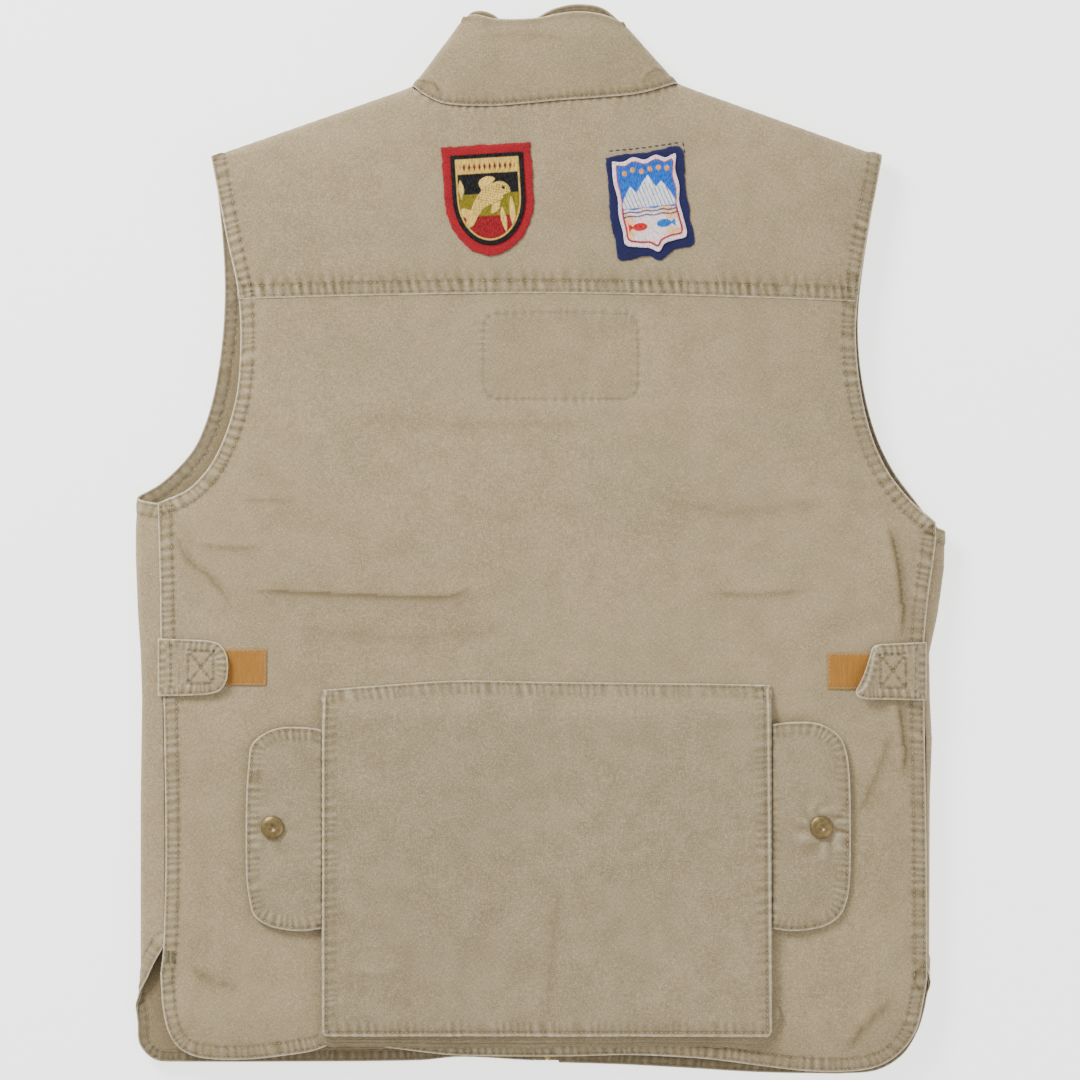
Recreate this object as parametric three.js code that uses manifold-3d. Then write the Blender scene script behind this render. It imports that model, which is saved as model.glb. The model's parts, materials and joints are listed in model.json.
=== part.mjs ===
// A sleeveless multi-pocket fishing vest, laid flat with its front down and its back up.
// Millimetres. +X is the wearer's right, +Y runs from the hem to the collar, and +Z is up, away from
// the surface that the vest lies on. The origin is under the middle of the vest, on that surface.
import * as THREE from 'three';
import { mergeVertices } from 'three/addons/utils/BufferGeometryUtils.js';
import Module from 'manifold-3d';

const wasm = await Module();
wasm.setup();

// ---------------------------------------------------------------- driving dimensions

// Cloth and the clearance that is kept between two sewn pieces.
const CLOTH = 1.0;
const FACING = 0.7;
const SEW_GAP = 0.3;

// Body, measured with the vest flat.
const BACK_LENGTH = 678; // back hem to the neck seam at the centre
const FRONT_DROP = 5; // how far the front hem hangs below the back hem
const CHEST_WIDTH = 568; // fold to fold under the arms
const HEM_WIDTH = 556;
const SHOULDER_WIDTH = 472;
const ACROSS_BACK = 431; // narrowest place between the armholes
const SHOULDER_DROP = 52;
const ARMHOLE_DEPTH = 247;
const NECK_WIDTH = 184;
const NECK_DIP = 13; // back neckline at the centre, below the neck point
const FRONT_NECK_DROP = 62;
const YOKE_DEPTH = 134;
const YOKE_RISE = 5; // the yoke seam is higher at the centre
const FRONT_YOKE_DEPTH = 45;
const SEAM_INSET_TOP = 11; // side seam to the side fold, under the arm
const SEAM_INSET_BOTTOM = 13;
const VENT_HEIGHT = 76;
const HEM_CORNER = 42;
const EDGE_BAND = 12; // width of the facings at the armholes and hems

// Collar.
const COLLAR_HEIGHT = 58;
const COLLAR_FRONT_RISE = 11; // the front shows this far above the back
const COLLAR_TOP_WIDTH = 116;
const COLLAR_DIP = 30; // the front's top edge falls this far to its centre edge
const COLLAR_SPLIT = 3; // between the two front ends

// Back pouch and its two side flaps.
const POUCH_WIDTH = 314;
const POUCH_HEIGHT = 246;
const POUCH_RISE = 24; // above the back hem
const POUCH_DEPTH = 6.4;
const POUCH_SLOPE = 24; // length over which the pouch's top falls to its seam
const FLAP_REACH = 55;
const FLAP_LENGTH = 144;
const FLAP_DROP = 28; // flap's top edge below the pouch's top edge
const FLAP_CORNER = 28;
const FLAP_SNAP_REACH = 35; // hinge to the snap

// Press snaps.
const CAP_DIAMETER = 16;
const CAP_HEIGHT = 2.2;
const SOCKET_DIAMETER = 11;
const BARREL_DIAMETER = 3.6;
const SNAP_STACK = 4.8; // from cloth to cloth, with the snap closed

// Side tabs with hook and loop tape.
const TAB_WIDTH = 40;
const TAB_REACH = 48;
const TAB_SEWN = 13; // part of the reach that is sewn down over the side seam
const TAB_CORNER = 13;
const TAB_ABOVE_FLAP = 39; // tab's middle above the flap's top edge
const TAPE_WIDTH = 25;
const TAPE_THICKNESS = 0.8;
const LOOP_LENGTH = 56;
const HOOK_LENGTH = 23;
const LOOP_SHOWS = 23; // loop tape that shows beyond the tab's end

// Front bellows pockets, each with a flap and a snap.
const POCKET_MOUTH = 6.5;
const POCKET_FLAP_GAP = 2.5;
const FRONT_CAP_HEIGHT = 1.7;
const LOWER_POCKET = { width: 160, height: 170, flap: 56, centreX: 136, aboveHem: 36 };
const CHEST_POCKET = { width: 120, height: 125, flap: 44, centreX: 120, aboveHem: 400 };

// Zip.
const ZIP_TAPE = 13.4;
const ZIP_TAPE_SHOWS = 5; // part of the tape that the front's edge leaves uncovered
const ZIP_TAPE_THICKNESS = 0.6;
const ZIP_TOOTH = 2.4; // reach of one side's row of teeth
const ZIP_THICKNESS = 2.0;
const ZIP_SLOT = 1.2;
const ZIP_END = 6; // zip's ends to the hem and to the neck seam
const SLIDER_LENGTH = 12;
const SLIDER_WIDTH = 10;
const SLIDER_PLATE = 0.8;
const PULL_LENGTH = 32;
const PULL_WIDTH = 8;
const PULL_THICKNESS = 1.2;

// Patches on the yoke and the label sewn inside the back.
const SHIELD = { width: 64, height: 77, x: -40.5, aboveSeam: 66, tilt: 3 };
const CREST = { width: 62, height: 78, x: 71.5, aboveSeam: 64, tilt: 6 };
const PATCH_MARGIN = 6.5;
const LABEL = { width: 108, height: 60, corner: 10, x: 9.5, belowSeam: 42 };

// ---------------------------------------------------------------- levels and places

const TORSO_GAP = 10; // between the front cloth and the back cloth
const LENGTH = BACK_LENGTH + FRONT_DROP + COLLAR_HEIGHT + COLLAR_FRONT_RISE;

// Heights above the floor, from the front pockets up to the back pouch.
const zFlapUnder = SEW_GAP + FRONT_CAP_HEIGHT + SEW_GAP;
const zPocketUnder = zFlapUnder + CLOTH + POCKET_FLAP_GAP;
const zFront = zPocketUnder + CLOTH + POCKET_MOUTH;
const zInnerLow = zFront + CLOTH;
const zInnerHigh = zInnerLow + TORSO_GAP;
const zBack = zInnerHigh;
const zBackTop = zBack + CLOTH;
const zPouch = zBackTop + POUCH_DEPTH;
const zBackFlap = zBackTop + SNAP_STACK;

const yFrontHem = -LENGTH / 2;
const yBackHem = yFrontHem + FRONT_DROP;
const yNeckSeam = yBackHem + BACK_LENGTH;
const yNeckPoint = yNeckSeam + NECK_DIP;
const yTip = yNeckPoint - SHOULDER_DROP;
const yUnderarm = yTip - ARMHOLE_DEPTH;
const yYoke = yNeckSeam - YOKE_DEPTH;
const yVent = yFrontHem + VENT_HEIGHT;
const yCollarTop = yNeckSeam + COLLAR_HEIGHT;
const yCollarPeak = yCollarTop + COLLAR_FRONT_RISE;
const yPouchLow = yBackHem + POUCH_RISE;
const yPouchTop = yPouchLow + POUCH_HEIGHT;
const yFlapTop = yPouchTop - FLAP_DROP;
const yFlapMiddle = yFlapTop - FLAP_LENGTH / 2;
const yTab = yFlapTop + TAB_ABOVE_FLAP;

const xFoldTop = CHEST_WIDTH / 2;
const xFoldLow = HEM_WIDTH / 2;
const xTip = SHOULDER_WIDTH / 2;
const xNeck = NECK_WIDTH / 2;
const xTape = ZIP_SLOT / 2 + ZIP_TOOTH + SEW_GAP;
const xFrontEdge = xTape + ZIP_TAPE_SHOWS;
const xPouch = POUCH_WIDTH / 2;

// The side fold and the side seam lean a little, so their X follows from Y.
const between = (low, high, y) => low + ((high - low) * (y - yFrontHem)) / (yUnderarm - yFrontHem);
const foldX = (y) => between(xFoldLow, xFoldTop, y);
const seamX = (y) => between(xFoldLow - SEAM_INSET_BOTTOM, xFoldTop - SEAM_INSET_TOP, y);

// ---------------------------------------------------------------- materials

const cloth = new THREE.MeshStandardMaterial({ color: 0xb3a188, roughness: 0.95 });
const liningCloth = new THREE.MeshStandardMaterial({ color: 0x9a8a73, roughness: 0.95 });
const feltRed = new THREE.MeshStandardMaterial({ color: 0xb8232f, roughness: 1.0 });
const feltBlue = new THREE.MeshStandardMaterial({ color: 0x232c63, roughness: 1.0 });
const embroideryGold = new THREE.MeshStandardMaterial({ color: 0xc9a85a, roughness: 0.6 });
const embroideryBlue = new THREE.MeshStandardMaterial({ color: 0x3f74b8, roughness: 0.6 });
const loopTan = new THREE.MeshStandardMaterial({ color: 0xb58a4c, roughness: 1.0 });
const snapMetal = new THREE.MeshStandardMaterial({ color: 0x8f7c57, roughness: 0.4, metalness: 0.6 });
const zipMetal = new THREE.MeshStandardMaterial({ color: 0x9c8650, roughness: 0.35, metalness: 0.9 });
const zipTapeCloth = new THREE.MeshStandardMaterial({ color: 0x8f7f66, roughness: 0.9 });

// ---------------------------------------------------------------- building helpers

const V = (x, y) => new THREE.Vector2(x, y);
const mirror = (points) => points.map((p) => V(-p.x, p.y)).reverse();
const curve = (a, b, c, d, steps = 12) => new THREE.CubicBezierCurve(a, b, c, d).getPoints(steps);
const withoutFirst = (points) => points.slice(1);

// A closed manifold-3d solid from a three.js geometry.
function solidOf(geometry) {
  const bare = geometry.index ? geometry.toNonIndexed() : geometry.clone();
  bare.deleteAttribute('normal');
  bare.deleteAttribute('uv');
  const merged = mergeVertices(bare, 1e-4);
  return new wasm.Manifold(
    new wasm.Mesh({
      numProp: 3,
      vertProperties: merged.attributes.position.array,
      triVerts: new Uint32Array(merged.index.array),
    }),
  );
}

function geometryOf(solid) {
  const { vertProperties, triVerts } = solid.getMesh();
  const geometry = new THREE.BufferGeometry();
  geometry.setAttribute('position', new THREE.BufferAttribute(vertProperties, 3));
  geometry.setIndex(new THREE.BufferAttribute(triVerts, 1));
  geometry.computeVertexNormals();
  return geometry;
}

// A flat piece: an outline in plan, from one height to another.
function plate(outline, zLow, zHigh) {
  const options = { depth: zHigh - zLow, bevelEnabled: false };
  const geometry = new THREE.ExtrudeGeometry(new THREE.Shape(outline), options);
  return solidOf(geometry.translate(0, 0, zLow));
}

// A side profile, given as (y, z) points, that runs from xLow to xHigh.
function prismAlongX(profile, xLow, xHigh) {
  const options = { depth: xHigh - xLow, bevelEnabled: false };
  const geometry = new THREE.ExtrudeGeometry(new THREE.Shape(profile), options);
  const toAxes = new THREE.Matrix4().makeBasis(
    new THREE.Vector3(0, 1, 0),
    new THREE.Vector3(0, 0, 1),
    new THREE.Vector3(1, 0, 0),
  );
  return solidOf(geometry.applyMatrix4(toAxes).translate(xLow, 0, 0));
}

function box(xLow, xHigh, yLow, yHigh, zLow, zHigh) {
  const geometry = new THREE.BoxGeometry(xHigh - xLow, yHigh - yLow, zHigh - zLow);
  const centre = [(xLow + xHigh) / 2, (yLow + yHigh) / 2, (zLow + zHigh) / 2];
  return solidOf(geometry.translate(...centre));
}

// A turned piece: (radius, height) points round the Z axis.
function turned(profile, segments = 24) {
  const points = profile.map(([radius, height]) => V(radius, height));
  return solidOf(new THREE.LatheGeometry(points, segments).rotateX(Math.PI / 2));
}

const union = (...solids) => solids.reduce((sum, next) => sum.add(next));

// The points of a line moved sideways, to its left as it runs.
function offset(points, distance) {
  return points.map((p, i) => {
    const before = points[Math.max(i - 1, 0)];
    const after = points[Math.min(i + 1, points.length - 1)];
    const along = V(after.x - before.x, after.y - before.y).normalize();
    return V(p.x - along.y * distance, p.y + along.x * distance);
  });
}

// A strip of even width along the left side of a line.
const strip = (points, width) => [...points, ...offset(points, width).reverse()];

// A rectangle with its corners rounded, centred on x and y.
function roundedRectangle(x, y, width, height, radius) {
  const shape = new THREE.Shape();
  const [left, right, low, high] = [x - width / 2, x + width / 2, y - height / 2, y + height / 2];
  const quarter = Math.PI / 2;
  shape.absarc(right - radius, low + radius, radius, -quarter, 0);
  shape.absarc(right - radius, high - radius, radius, 0, quarter);
  shape.absarc(left + radius, high - radius, radius, quarter, 2 * quarter);
  shape.absarc(left + radius, low + radius, radius, 2 * quarter, 3 * quarter);
  return shape.getPoints(6);
}

// A tongue that starts square at xRoot and ends at xEnd with rounded corners.
function tongue(xRoot, xEnd, yLow, yHigh, radius) {
  const way = Math.sign(xEnd - xRoot);
  const xArc = xEnd - way * radius;
  const turn = (from, to, y) =>
    new THREE.EllipseCurve(xArc, y, radius, radius, from, to, way < 0).getPoints(8);
  const quarter = Math.PI / 2;
  const start = way > 0 ? 0 : Math.PI;
  return [
    V(xRoot, yLow),
    ...turn(-quarter, way > 0 ? start : -start, yLow + radius),
    ...turn(start, quarter, yHigh - radius),
    V(xRoot, yHigh),
  ];
}

const vest = new THREE.Group();
const rightSide = new THREE.Group();
const leftSide = new THREE.Group();
leftSide.scale.x = -1;
vest.add(rightSide, leftSide);

function addPiece(name, solid, material, place = [0, 0, 0]) {
  const mesh = new THREE.Mesh(geometryOf(solid), material);
  mesh.name = name;
  mesh.position.set(...place);
  vest.add(mesh);
  return mesh;
}

// The right-hand piece and its mirror image.
function addPair(name, solid, material, place = [0, 0, 0]) {
  const geometry = geometryOf(solid);
  for (const [side, group] of [['right', rightSide], ['left', leftSide]]) {
    const mesh = new THREE.Mesh(geometry, material);
    mesh.name = `${name}_${side}`;
    mesh.position.set(...place);
    group.add(mesh);
  }
}

// ---------------------------------------------------------------- outlines of the right half

const neckPoint = V(xNeck, yNeckPoint);
const shoulderTip = V(xTip, yTip);

// Armhole edge from the shoulder tip to the side fold.
function armholeEdge() {
  const narrowX = ACROSS_BACK / 2;
  const narrowY = yUnderarm + 0.52 * ARMHOLE_DEPTH;
  const upperRise = yTip - narrowY;
  const lowerRise = narrowY - yUnderarm;
  const foldPoint = V(xFoldTop, yUnderarm);
  const upper = curve(
    shoulderTip,
    V(xTip - 0.25 * (xTip - narrowX), yTip - 0.24 * upperRise),
    V(narrowX, narrowY + 0.38 * upperRise),
    V(narrowX, narrowY),
  );
  const lower = curve(
    V(narrowX, narrowY),
    V(narrowX, narrowY - 0.52 * lowerRise),
    V(narrowX + 0.32 * (xFoldTop - narrowX), yUnderarm + 0.03 * lowerRise),
    foldPoint,
    14,
  );
  return [...upper, ...withoutFirst(lower)];
}

// Hem corner from the side edge round to the hem, then the hem's middle.
function hemEdge(xAt, yHem) {
  const xSide = xAt(yHem + HEM_CORNER);
  const arc = new THREE.EllipseCurve(
    xSide - HEM_CORNER, yHem + HEM_CORNER, HEM_CORNER, HEM_CORNER, 0, -Math.PI / 2, true,
  );
  return arc.getPoints(8);
}

const backNeckline = () =>
  curve(
    V(0, yNeckSeam),
    V(0.6 * xNeck, yNeckSeam),
    V(0.87 * xNeck, yNeckPoint - 0.7 * NECK_DIP),
    neckPoint,
    8,
  );

const frontNeckline = () =>
  curve(
    V(xFrontEdge, yNeckPoint - FRONT_NECK_DROP),
    V(0.62 * xNeck, yNeckPoint - FRONT_NECK_DROP),
    V(0.92 * xNeck, yNeckPoint - 0.5 * FRONT_NECK_DROP),
    neckPoint,
    8,
  );

const reversed = (points) => [...points].reverse();
const moved = (points, dx, dy) => points.map((p) => V(p.x + dx, p.y + dy));

// ---------------------------------------------------------------- body cloth

// Everything of the top layer above or below the yoke seam.
function yokeRegion(above) {
  const edge = xFoldTop + 20;
  const seam = curve(
    V(-edge, yYoke - YOKE_RISE),
    V(-0.4 * edge, yYoke),
    V(0.4 * edge, yYoke),
    V(edge, yYoke - YOKE_RISE),
    16,
  );
  const far = above ? LENGTH : -LENGTH;
  const shift = above ? SEW_GAP / 2 : -SEW_GAP / 2;
  return plate([...moved(seam, 0, shift), V(edge, far), V(-edge, far)], -1, 2 * zPouch);
}

// The line on the front that runs parallel to the shoulder, where the yoke is sewn to the front.
function frontYokeRegion(above) {
  const slope = SHOULDER_DROP / (xTip - xNeck);
  const drop = above ? FRONT_YOKE_DEPTH - SEW_GAP / 2 : FRONT_YOKE_DEPTH + SEW_GAP / 2;
  const lineY = (x) => yNeckPoint - slope * (x - xNeck) - drop;
  const far = above ? LENGTH : -LENGTH;
  const edge = xFoldTop + 20;
  return plate([V(0, lineY(0)), V(edge, lineY(edge)), V(edge, far), V(0, far)], -1, 2 * zPouch);
}

function topLayer() {
  const right = [
    ...backNeckline(),
    ...armholeEdge(),
    V(foldX(yVent), yVent),
    V(foldX(yBackHem), yBackHem),
  ];
  return plate([...right, ...mirror(withoutFirst(right))], zBack, zBackTop);
}

// The back below the yoke: from side seam to side seam, with round corners at the vents.
function backRegion() {
  const right = [
    V(seamX(yUnderarm + 2), yUnderarm + 2),
    V(seamX(yVent), yVent),
    ...hemEdge(seamX, yBackHem),
  ];
  const top = [V(-xFoldTop, LENGTH), V(xFoldTop, LENGTH), V(xFoldTop, yUnderarm + 2)];
  const left = mirror(right);
  return plate([...top, ...right, ...left, V(-xFoldTop, yUnderarm + 2)], -1, 2 * zPouch);
}

// Between the side seam and the side fold, from the armhole down to the vent.
function sideStripRegion() {
  const outline = [
    V(seamX(yUnderarm + 2) + SEW_GAP, yUnderarm + 2),
    V(seamX(yVent) + SEW_GAP, yVent),
    V(xFoldTop + 20, yVent),
    V(xFoldTop + 20, yUnderarm + 2),
  ];
  return plate(outline, -1, 2 * zPouch);
}

function bottomLayer() {
  const hem = hemEdge(foldX, yFrontHem);
  const right = [
    ...frontNeckline(),
    ...armholeEdge(),
    V(foldX(yVent), yVent),
    ...hem,
    V(xFrontEdge, yFrontHem),
  ];
  return plate(right, zFront, zInnerLow);
}

// A wall of cloth that joins the two layers along a fold, on the left side of the line.
const foldWall = (line, thickness, zLow, zHigh) => plate(strip(line, thickness), zLow, zHigh);

function makeBody() {
  const top = topLayer();
  const bottom = bottomLayer();
  const holes = union(snapHole(zBack, xPouch + FLAP_SNAP_REACH, yFlapMiddle));
  const leftHole = holes.mirror([1, 0, 0]);

  const back = top.intersect(yokeRegion(false)).intersect(backRegion());
  addPiece('back_panel', back.subtract(holes).subtract(leftHole), cloth);

  const shoulder = [shoulderTip, neckPoint];
  const shoulderWall = foldWall(shoulder, CLOTH, zFront, zBackTop);
  const yokeFront = bottom.intersect(frontYokeRegion(true));
  const half = union(shoulderWall, yokeFront);
  addPiece('yoke', union(top.intersect(yokeRegion(true)), half, half.mirror([1, 0, 0])), cloth);

  const foldLine = [V(foldX(yVent), yVent), V(xFoldTop, yUnderarm)];
  const sideWall = foldWall(foldLine, CLOTH, zFront, zBackTop);
  const sideStrip = top.intersect(sideStripRegion());
  const front = bottom.subtract(frontYokeRegion(true)).intersect(frontYokeRegion(false));
  addPair('front', union(front, sideWall, sideStrip), cloth);
}

// ---------------------------------------------------------------- facings inside the edges

// A facing that goes round inside a pair of folds: both strips, and the ends that join them.
function foldedFacing(line) {
  const lowZ = zInnerLow + SEW_GAP;
  const highZ = zInnerHigh - SEW_GAP;
  const whole = plate(strip(line, -EDGE_BAND), lowZ, highZ);
  const inner = trimmed(line, FACING);
  const gap = plate(strip(offset(inner, 1), -EDGE_BAND - 2), lowZ + FACING, highZ - FACING);
  return whole.subtract(gap);
}

// The line without its first and last stretch.
function trimmed(line, length) {
  const shorten = (points) => {
    const [a, b] = points;
    const share = length / a.distanceTo(b);
    return [a.clone().lerp(b, share), ...points.slice(1)];
  };
  return reversed(shorten(reversed(shorten(line))));
}

function makeFacings() {
  const lowZ = zInnerLow + SEW_GAP;
  const highZ = zInnerHigh - SEW_GAP;
  const armhole = trimmed(armholeEdge(), CLOTH + 3 * SEW_GAP);
  addPair('armhole_facing', foldedFacing(armhole), liningCloth);

  const backEdge = [V(seamX(yVent - 2), yVent - 2), ...hemEdge(seamX, yBackHem)];
  const backHem = [...backEdge, ...mirror(backEdge)];
  addPiece('hem_facing_back', plate(strip(backHem, -EDGE_BAND), highZ - FACING, highZ), liningCloth);

  const frontEdge = [
    V(foldX(yVent - 2), yVent - 2),
    ...hemEdge(foldX, yFrontHem),
    V(xTape + ZIP_TAPE + SEW_GAP, yFrontHem),
  ];
  addPair('hem_facing', plate(strip(frontEdge, -EDGE_BAND), lowZ, lowZ + FACING), liningCloth);

  const label = roundedRectangle(
    LABEL.x, yYoke - LABEL.belowSeam, LABEL.width, LABEL.height, LABEL.corner,
  );
  addPiece('inner_label', plate(label, highZ - FACING, highZ), liningCloth);
}

// ---------------------------------------------------------------- collar

// One ply of the collar: a flattened tube, open at the top and down the front.
function collarPly(depthInside, thickness, zLow, zHigh) {
  const lean = Math.atan2(xNeck - COLLAR_TOP_WIDTH / 2, yCollarTop - 4 - yNeckPoint);
  const inset = depthInside / Math.cos(lean);
  const sideFoot = V(xNeck - inset, yNeckPoint + SEW_GAP);
  const sideHead = V(COLLAR_TOP_WIDTH / 2 - inset, yCollarTop - 4);
  const topCorner = V(COLLAR_TOP_WIDTH / 2 - 6 - inset, yCollarTop);
  const base = moved(backNeckline(), 0, SEW_GAP).filter((p) => p.x < sideFoot.x - 1);
  const right = [...base, sideFoot, sideHead, topCorner];
  const back = plate([...right, ...mirror(withoutFirst(right))], zHigh - thickness, zHigh);

  const neckline = moved(frontNeckline(), 0, SEW_GAP + 0.2).filter((p) => p.x < sideFoot.x - 1);
  const xEnd = COLLAR_SPLIT / 2;
  const peak = V(0.26 * COLLAR_TOP_WIDTH, yCollarPeak);
  const end = V(xEnd, yCollarPeak - COLLAR_DIP);
  const toPeak = curve(sideHead, V(sideHead.x - 4, yCollarTop + 4), V(peak.x + 9, peak.y), peak, 5);
  const toEnd = curve(peak, V(peak.x - 16, peak.y), V(xEnd, end.y + 16), end, 8);
  const outline = [V(xEnd, neckline[0].y), ...neckline, sideFoot, ...toPeak, ...withoutFirst(toEnd)];
  const front = plate(outline, zLow, zLow + thickness);

  const wall = foldWall([sideFoot, sideHead], thickness, zLow, zHigh);
  const side = union(front, wall);
  return union(back, side, side.mirror([1, 0, 0]));
}

function makeCollar() {
  addPiece('collar_outer', collarPly(0, CLOTH, zFront, zBackTop), cloth);
  const inner = collarPly(CLOTH + SEW_GAP, FACING, zInnerLow + SEW_GAP, zInnerHigh - SEW_GAP);
  addPiece('collar_inner', inner, liningCloth);
}

// ---------------------------------------------------------------- press snaps

const holeRadius = BARREL_DIAMETER / 2 + SEW_GAP;

// The hole that a snap's barrel or post passes through, in cloth whose underside is at z.
function snapHole(z, x, y) {
  const geometry = new THREE.CylinderGeometry(holeRadius, holeRadius, 4 * CLOTH, 16);
  return solidOf(geometry.rotateX(Math.PI / 2).translate(x, y, z));
}

// The cap, seen side up, with its barrel down through the cloth. Its underside is at height 0.
function snapCap(height, barrelLength) {
  const radius = CAP_DIAMETER / 2;
  const barrel = BARREL_DIAMETER / 2;
  return turned([
    [0, -barrelLength],
    [barrel, -barrelLength],
    [barrel, 0],
    [radius - 0.8, 0],
    [radius, 0.35 * height],
    [radius, 0.6 * height],
    [radius - 0.9, 0.95 * height],
    [radius - 2, height],
    [0, height],
  ]);
}

// The ring under the flap that the stud clicks into. It closes round the barrel's end.
function snapSocket(height) {
  const radius = SOCKET_DIAMETER / 2;
  const bore = BARREL_DIAMETER / 2 + SEW_GAP;
  return turned([
    [bore, 0],
    [radius, 0],
    [radius, 0.8 * height],
    [radius - 1, height],
    [bore, height],
    [bore, 0],
  ]);
}

// The stud on the cloth below, with its post and the post's flange inside.
function snapStud(nipple, clothThickness) {
  const radius = SOCKET_DIAMETER / 2;
  const post = BARREL_DIAMETER / 2;
  const inside = -clothThickness - 2 * SEW_GAP;
  const flange = 0.5;
  return turned([
    [0, inside - flange],
    [radius - 1, inside - flange],
    [radius - 1, inside],
    [post, inside],
    [post, 0],
    [radius, 0],
    [radius, 0.5],
    [post - 0.1, 0.7],
    [post - 0.1, nipple],
    [0, nipple],
  ]);
}

// ---------------------------------------------------------------- back pouch

function makePouch() {
  const zFoot = zBackTop + SEW_GAP;
  const zHead = zPouch - SEW_GAP;
  const seam = 2;
  const yFall = yPouchTop - POUCH_SLOPE;
  const section = [
    V(yPouchLow, zPouch),
    V(yFall, zPouch),
    V(yPouchTop - seam, zFoot),
    V(yPouchTop, zFoot),
    V(yPouchTop, zFoot + CLOTH),
    V(yPouchTop - seam, zFoot + CLOTH),
    V(yFall, zPouch + CLOTH),
    V(yPouchLow, zPouch + CLOTH),
  ];
  // Above its side entries the panel's edge turns down to the back.
  const yMouthTop = yFlapTop - 3;
  const edge = [
    V(yMouthTop, zFoot),
    V(yPouchTop - seam, zFoot),
    V(yPouchTop - seam, zFoot + CLOTH),
    V(yFall, zPouch + CLOTH),
    V(yMouthTop, zPouch + CLOTH),
  ];
  const sideEdge = prismAlongX(edge, xPouch - CLOTH, xPouch);
  const panel = prismAlongX(section, -xPouch, xPouch);
  addPiece('pouch_panel', union(panel, sideEdge, sideEdge.mirror([1, 0, 0])), cloth);

  const yMouthLow = yFlapTop - FLAP_LENGTH + 3;
  const bottomWall = box(-xPouch, xPouch, yPouchLow, yPouchLow + CLOTH, zFoot, zHead);
  const sideWall = box(xPouch - CLOTH, xPouch, yPouchLow, yMouthLow, zFoot, zHead);
  const gusset = union(bottomWall, sideWall, sideWall.mirror([1, 0, 0]));
  addPiece('pouch_gusset', gusset, cloth);
}

function makePouchFlaps() {
  const xRoot = xPouch + SEW_GAP;
  const xSnap = xPouch + FLAP_SNAP_REACH;
  const outline = tongue(
    xRoot, xPouch + FLAP_REACH, yFlapTop - FLAP_LENGTH, yFlapTop, FLAP_CORNER,
  );
  const flap = plate(outline, 0, CLOTH).subtract(snapHole(0, xSnap, yFlapMiddle));
  addPair('pouch_flap', flap, cloth, [0, 0, zBackFlap]);

  const socketHeight = 2.2;
  const zSocket = zBackFlap - SEW_GAP - socketHeight;
  const zStud = zBackTop + SEW_GAP;
  const nipple = SNAP_STACK - SEW_GAP - CLOTH - 3 * SEW_GAP;
  const cap = snapCap(CAP_HEIGHT, CLOTH + 2 * SEW_GAP + 0.8);
  addPair('snap_cap', cap, snapMetal, [xSnap, yFlapMiddle, zBackFlap + CLOTH + SEW_GAP]);
  addPair('snap_socket', snapSocket(socketHeight), snapMetal, [xSnap, yFlapMiddle, zSocket]);
  addPair('snap_stud', snapStud(nipple, CLOTH), snapMetal, [xSnap, yFlapMiddle, zStud]);
}

// ---------------------------------------------------------------- side tabs

function makeTabs() {
  const xEnd = seamX(yTab) - TAB_REACH;
  const xBase = seamX(yTab) - TAB_SEWN;
  const yLow = yTab - TAB_WIDTH / 2;
  const yHigh = yTab + TAB_WIDTH / 2;
  const zFoot = zBackTop + SEW_GAP;
  const zHook = zFoot + TAPE_THICKNESS + SEW_GAP;
  const zTab = zHook + TAPE_THICKNESS + SEW_GAP;
  const base = box(xBase, seamX(yTab), yLow, yHigh, zFoot, zTab + CLOTH);
  addPair('tab_base', base, cloth);

  const outline = tongue(xBase - SEW_GAP, xEnd, yLow, yHigh, TAB_CORNER);
  addPair('tab', plate(outline, 0, CLOTH), cloth, [0, 0, zTab]);

  const hookEnd = xEnd + 9;
  const yTapeLow = yTab - TAPE_WIDTH / 2;
  const yTapeHigh = yTab + TAPE_WIDTH / 2;
  const hook = box(hookEnd, hookEnd + HOOK_LENGTH, yTapeLow, yTapeHigh, zHook, zHook + TAPE_THICKNESS);
  addPair('hook_tape', hook, loopTan);

  const loopEnd = xEnd - LOOP_SHOWS;
  const loop = roundedRectangle(loopEnd + LOOP_LENGTH / 2, yTab - 2, LOOP_LENGTH, TAPE_WIDTH, 2);
  addPair('loop_tape', plate(loop, zFoot, zFoot + TAPE_THICKNESS), loopTan);
}

// ---------------------------------------------------------------- front bellows pockets

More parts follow.
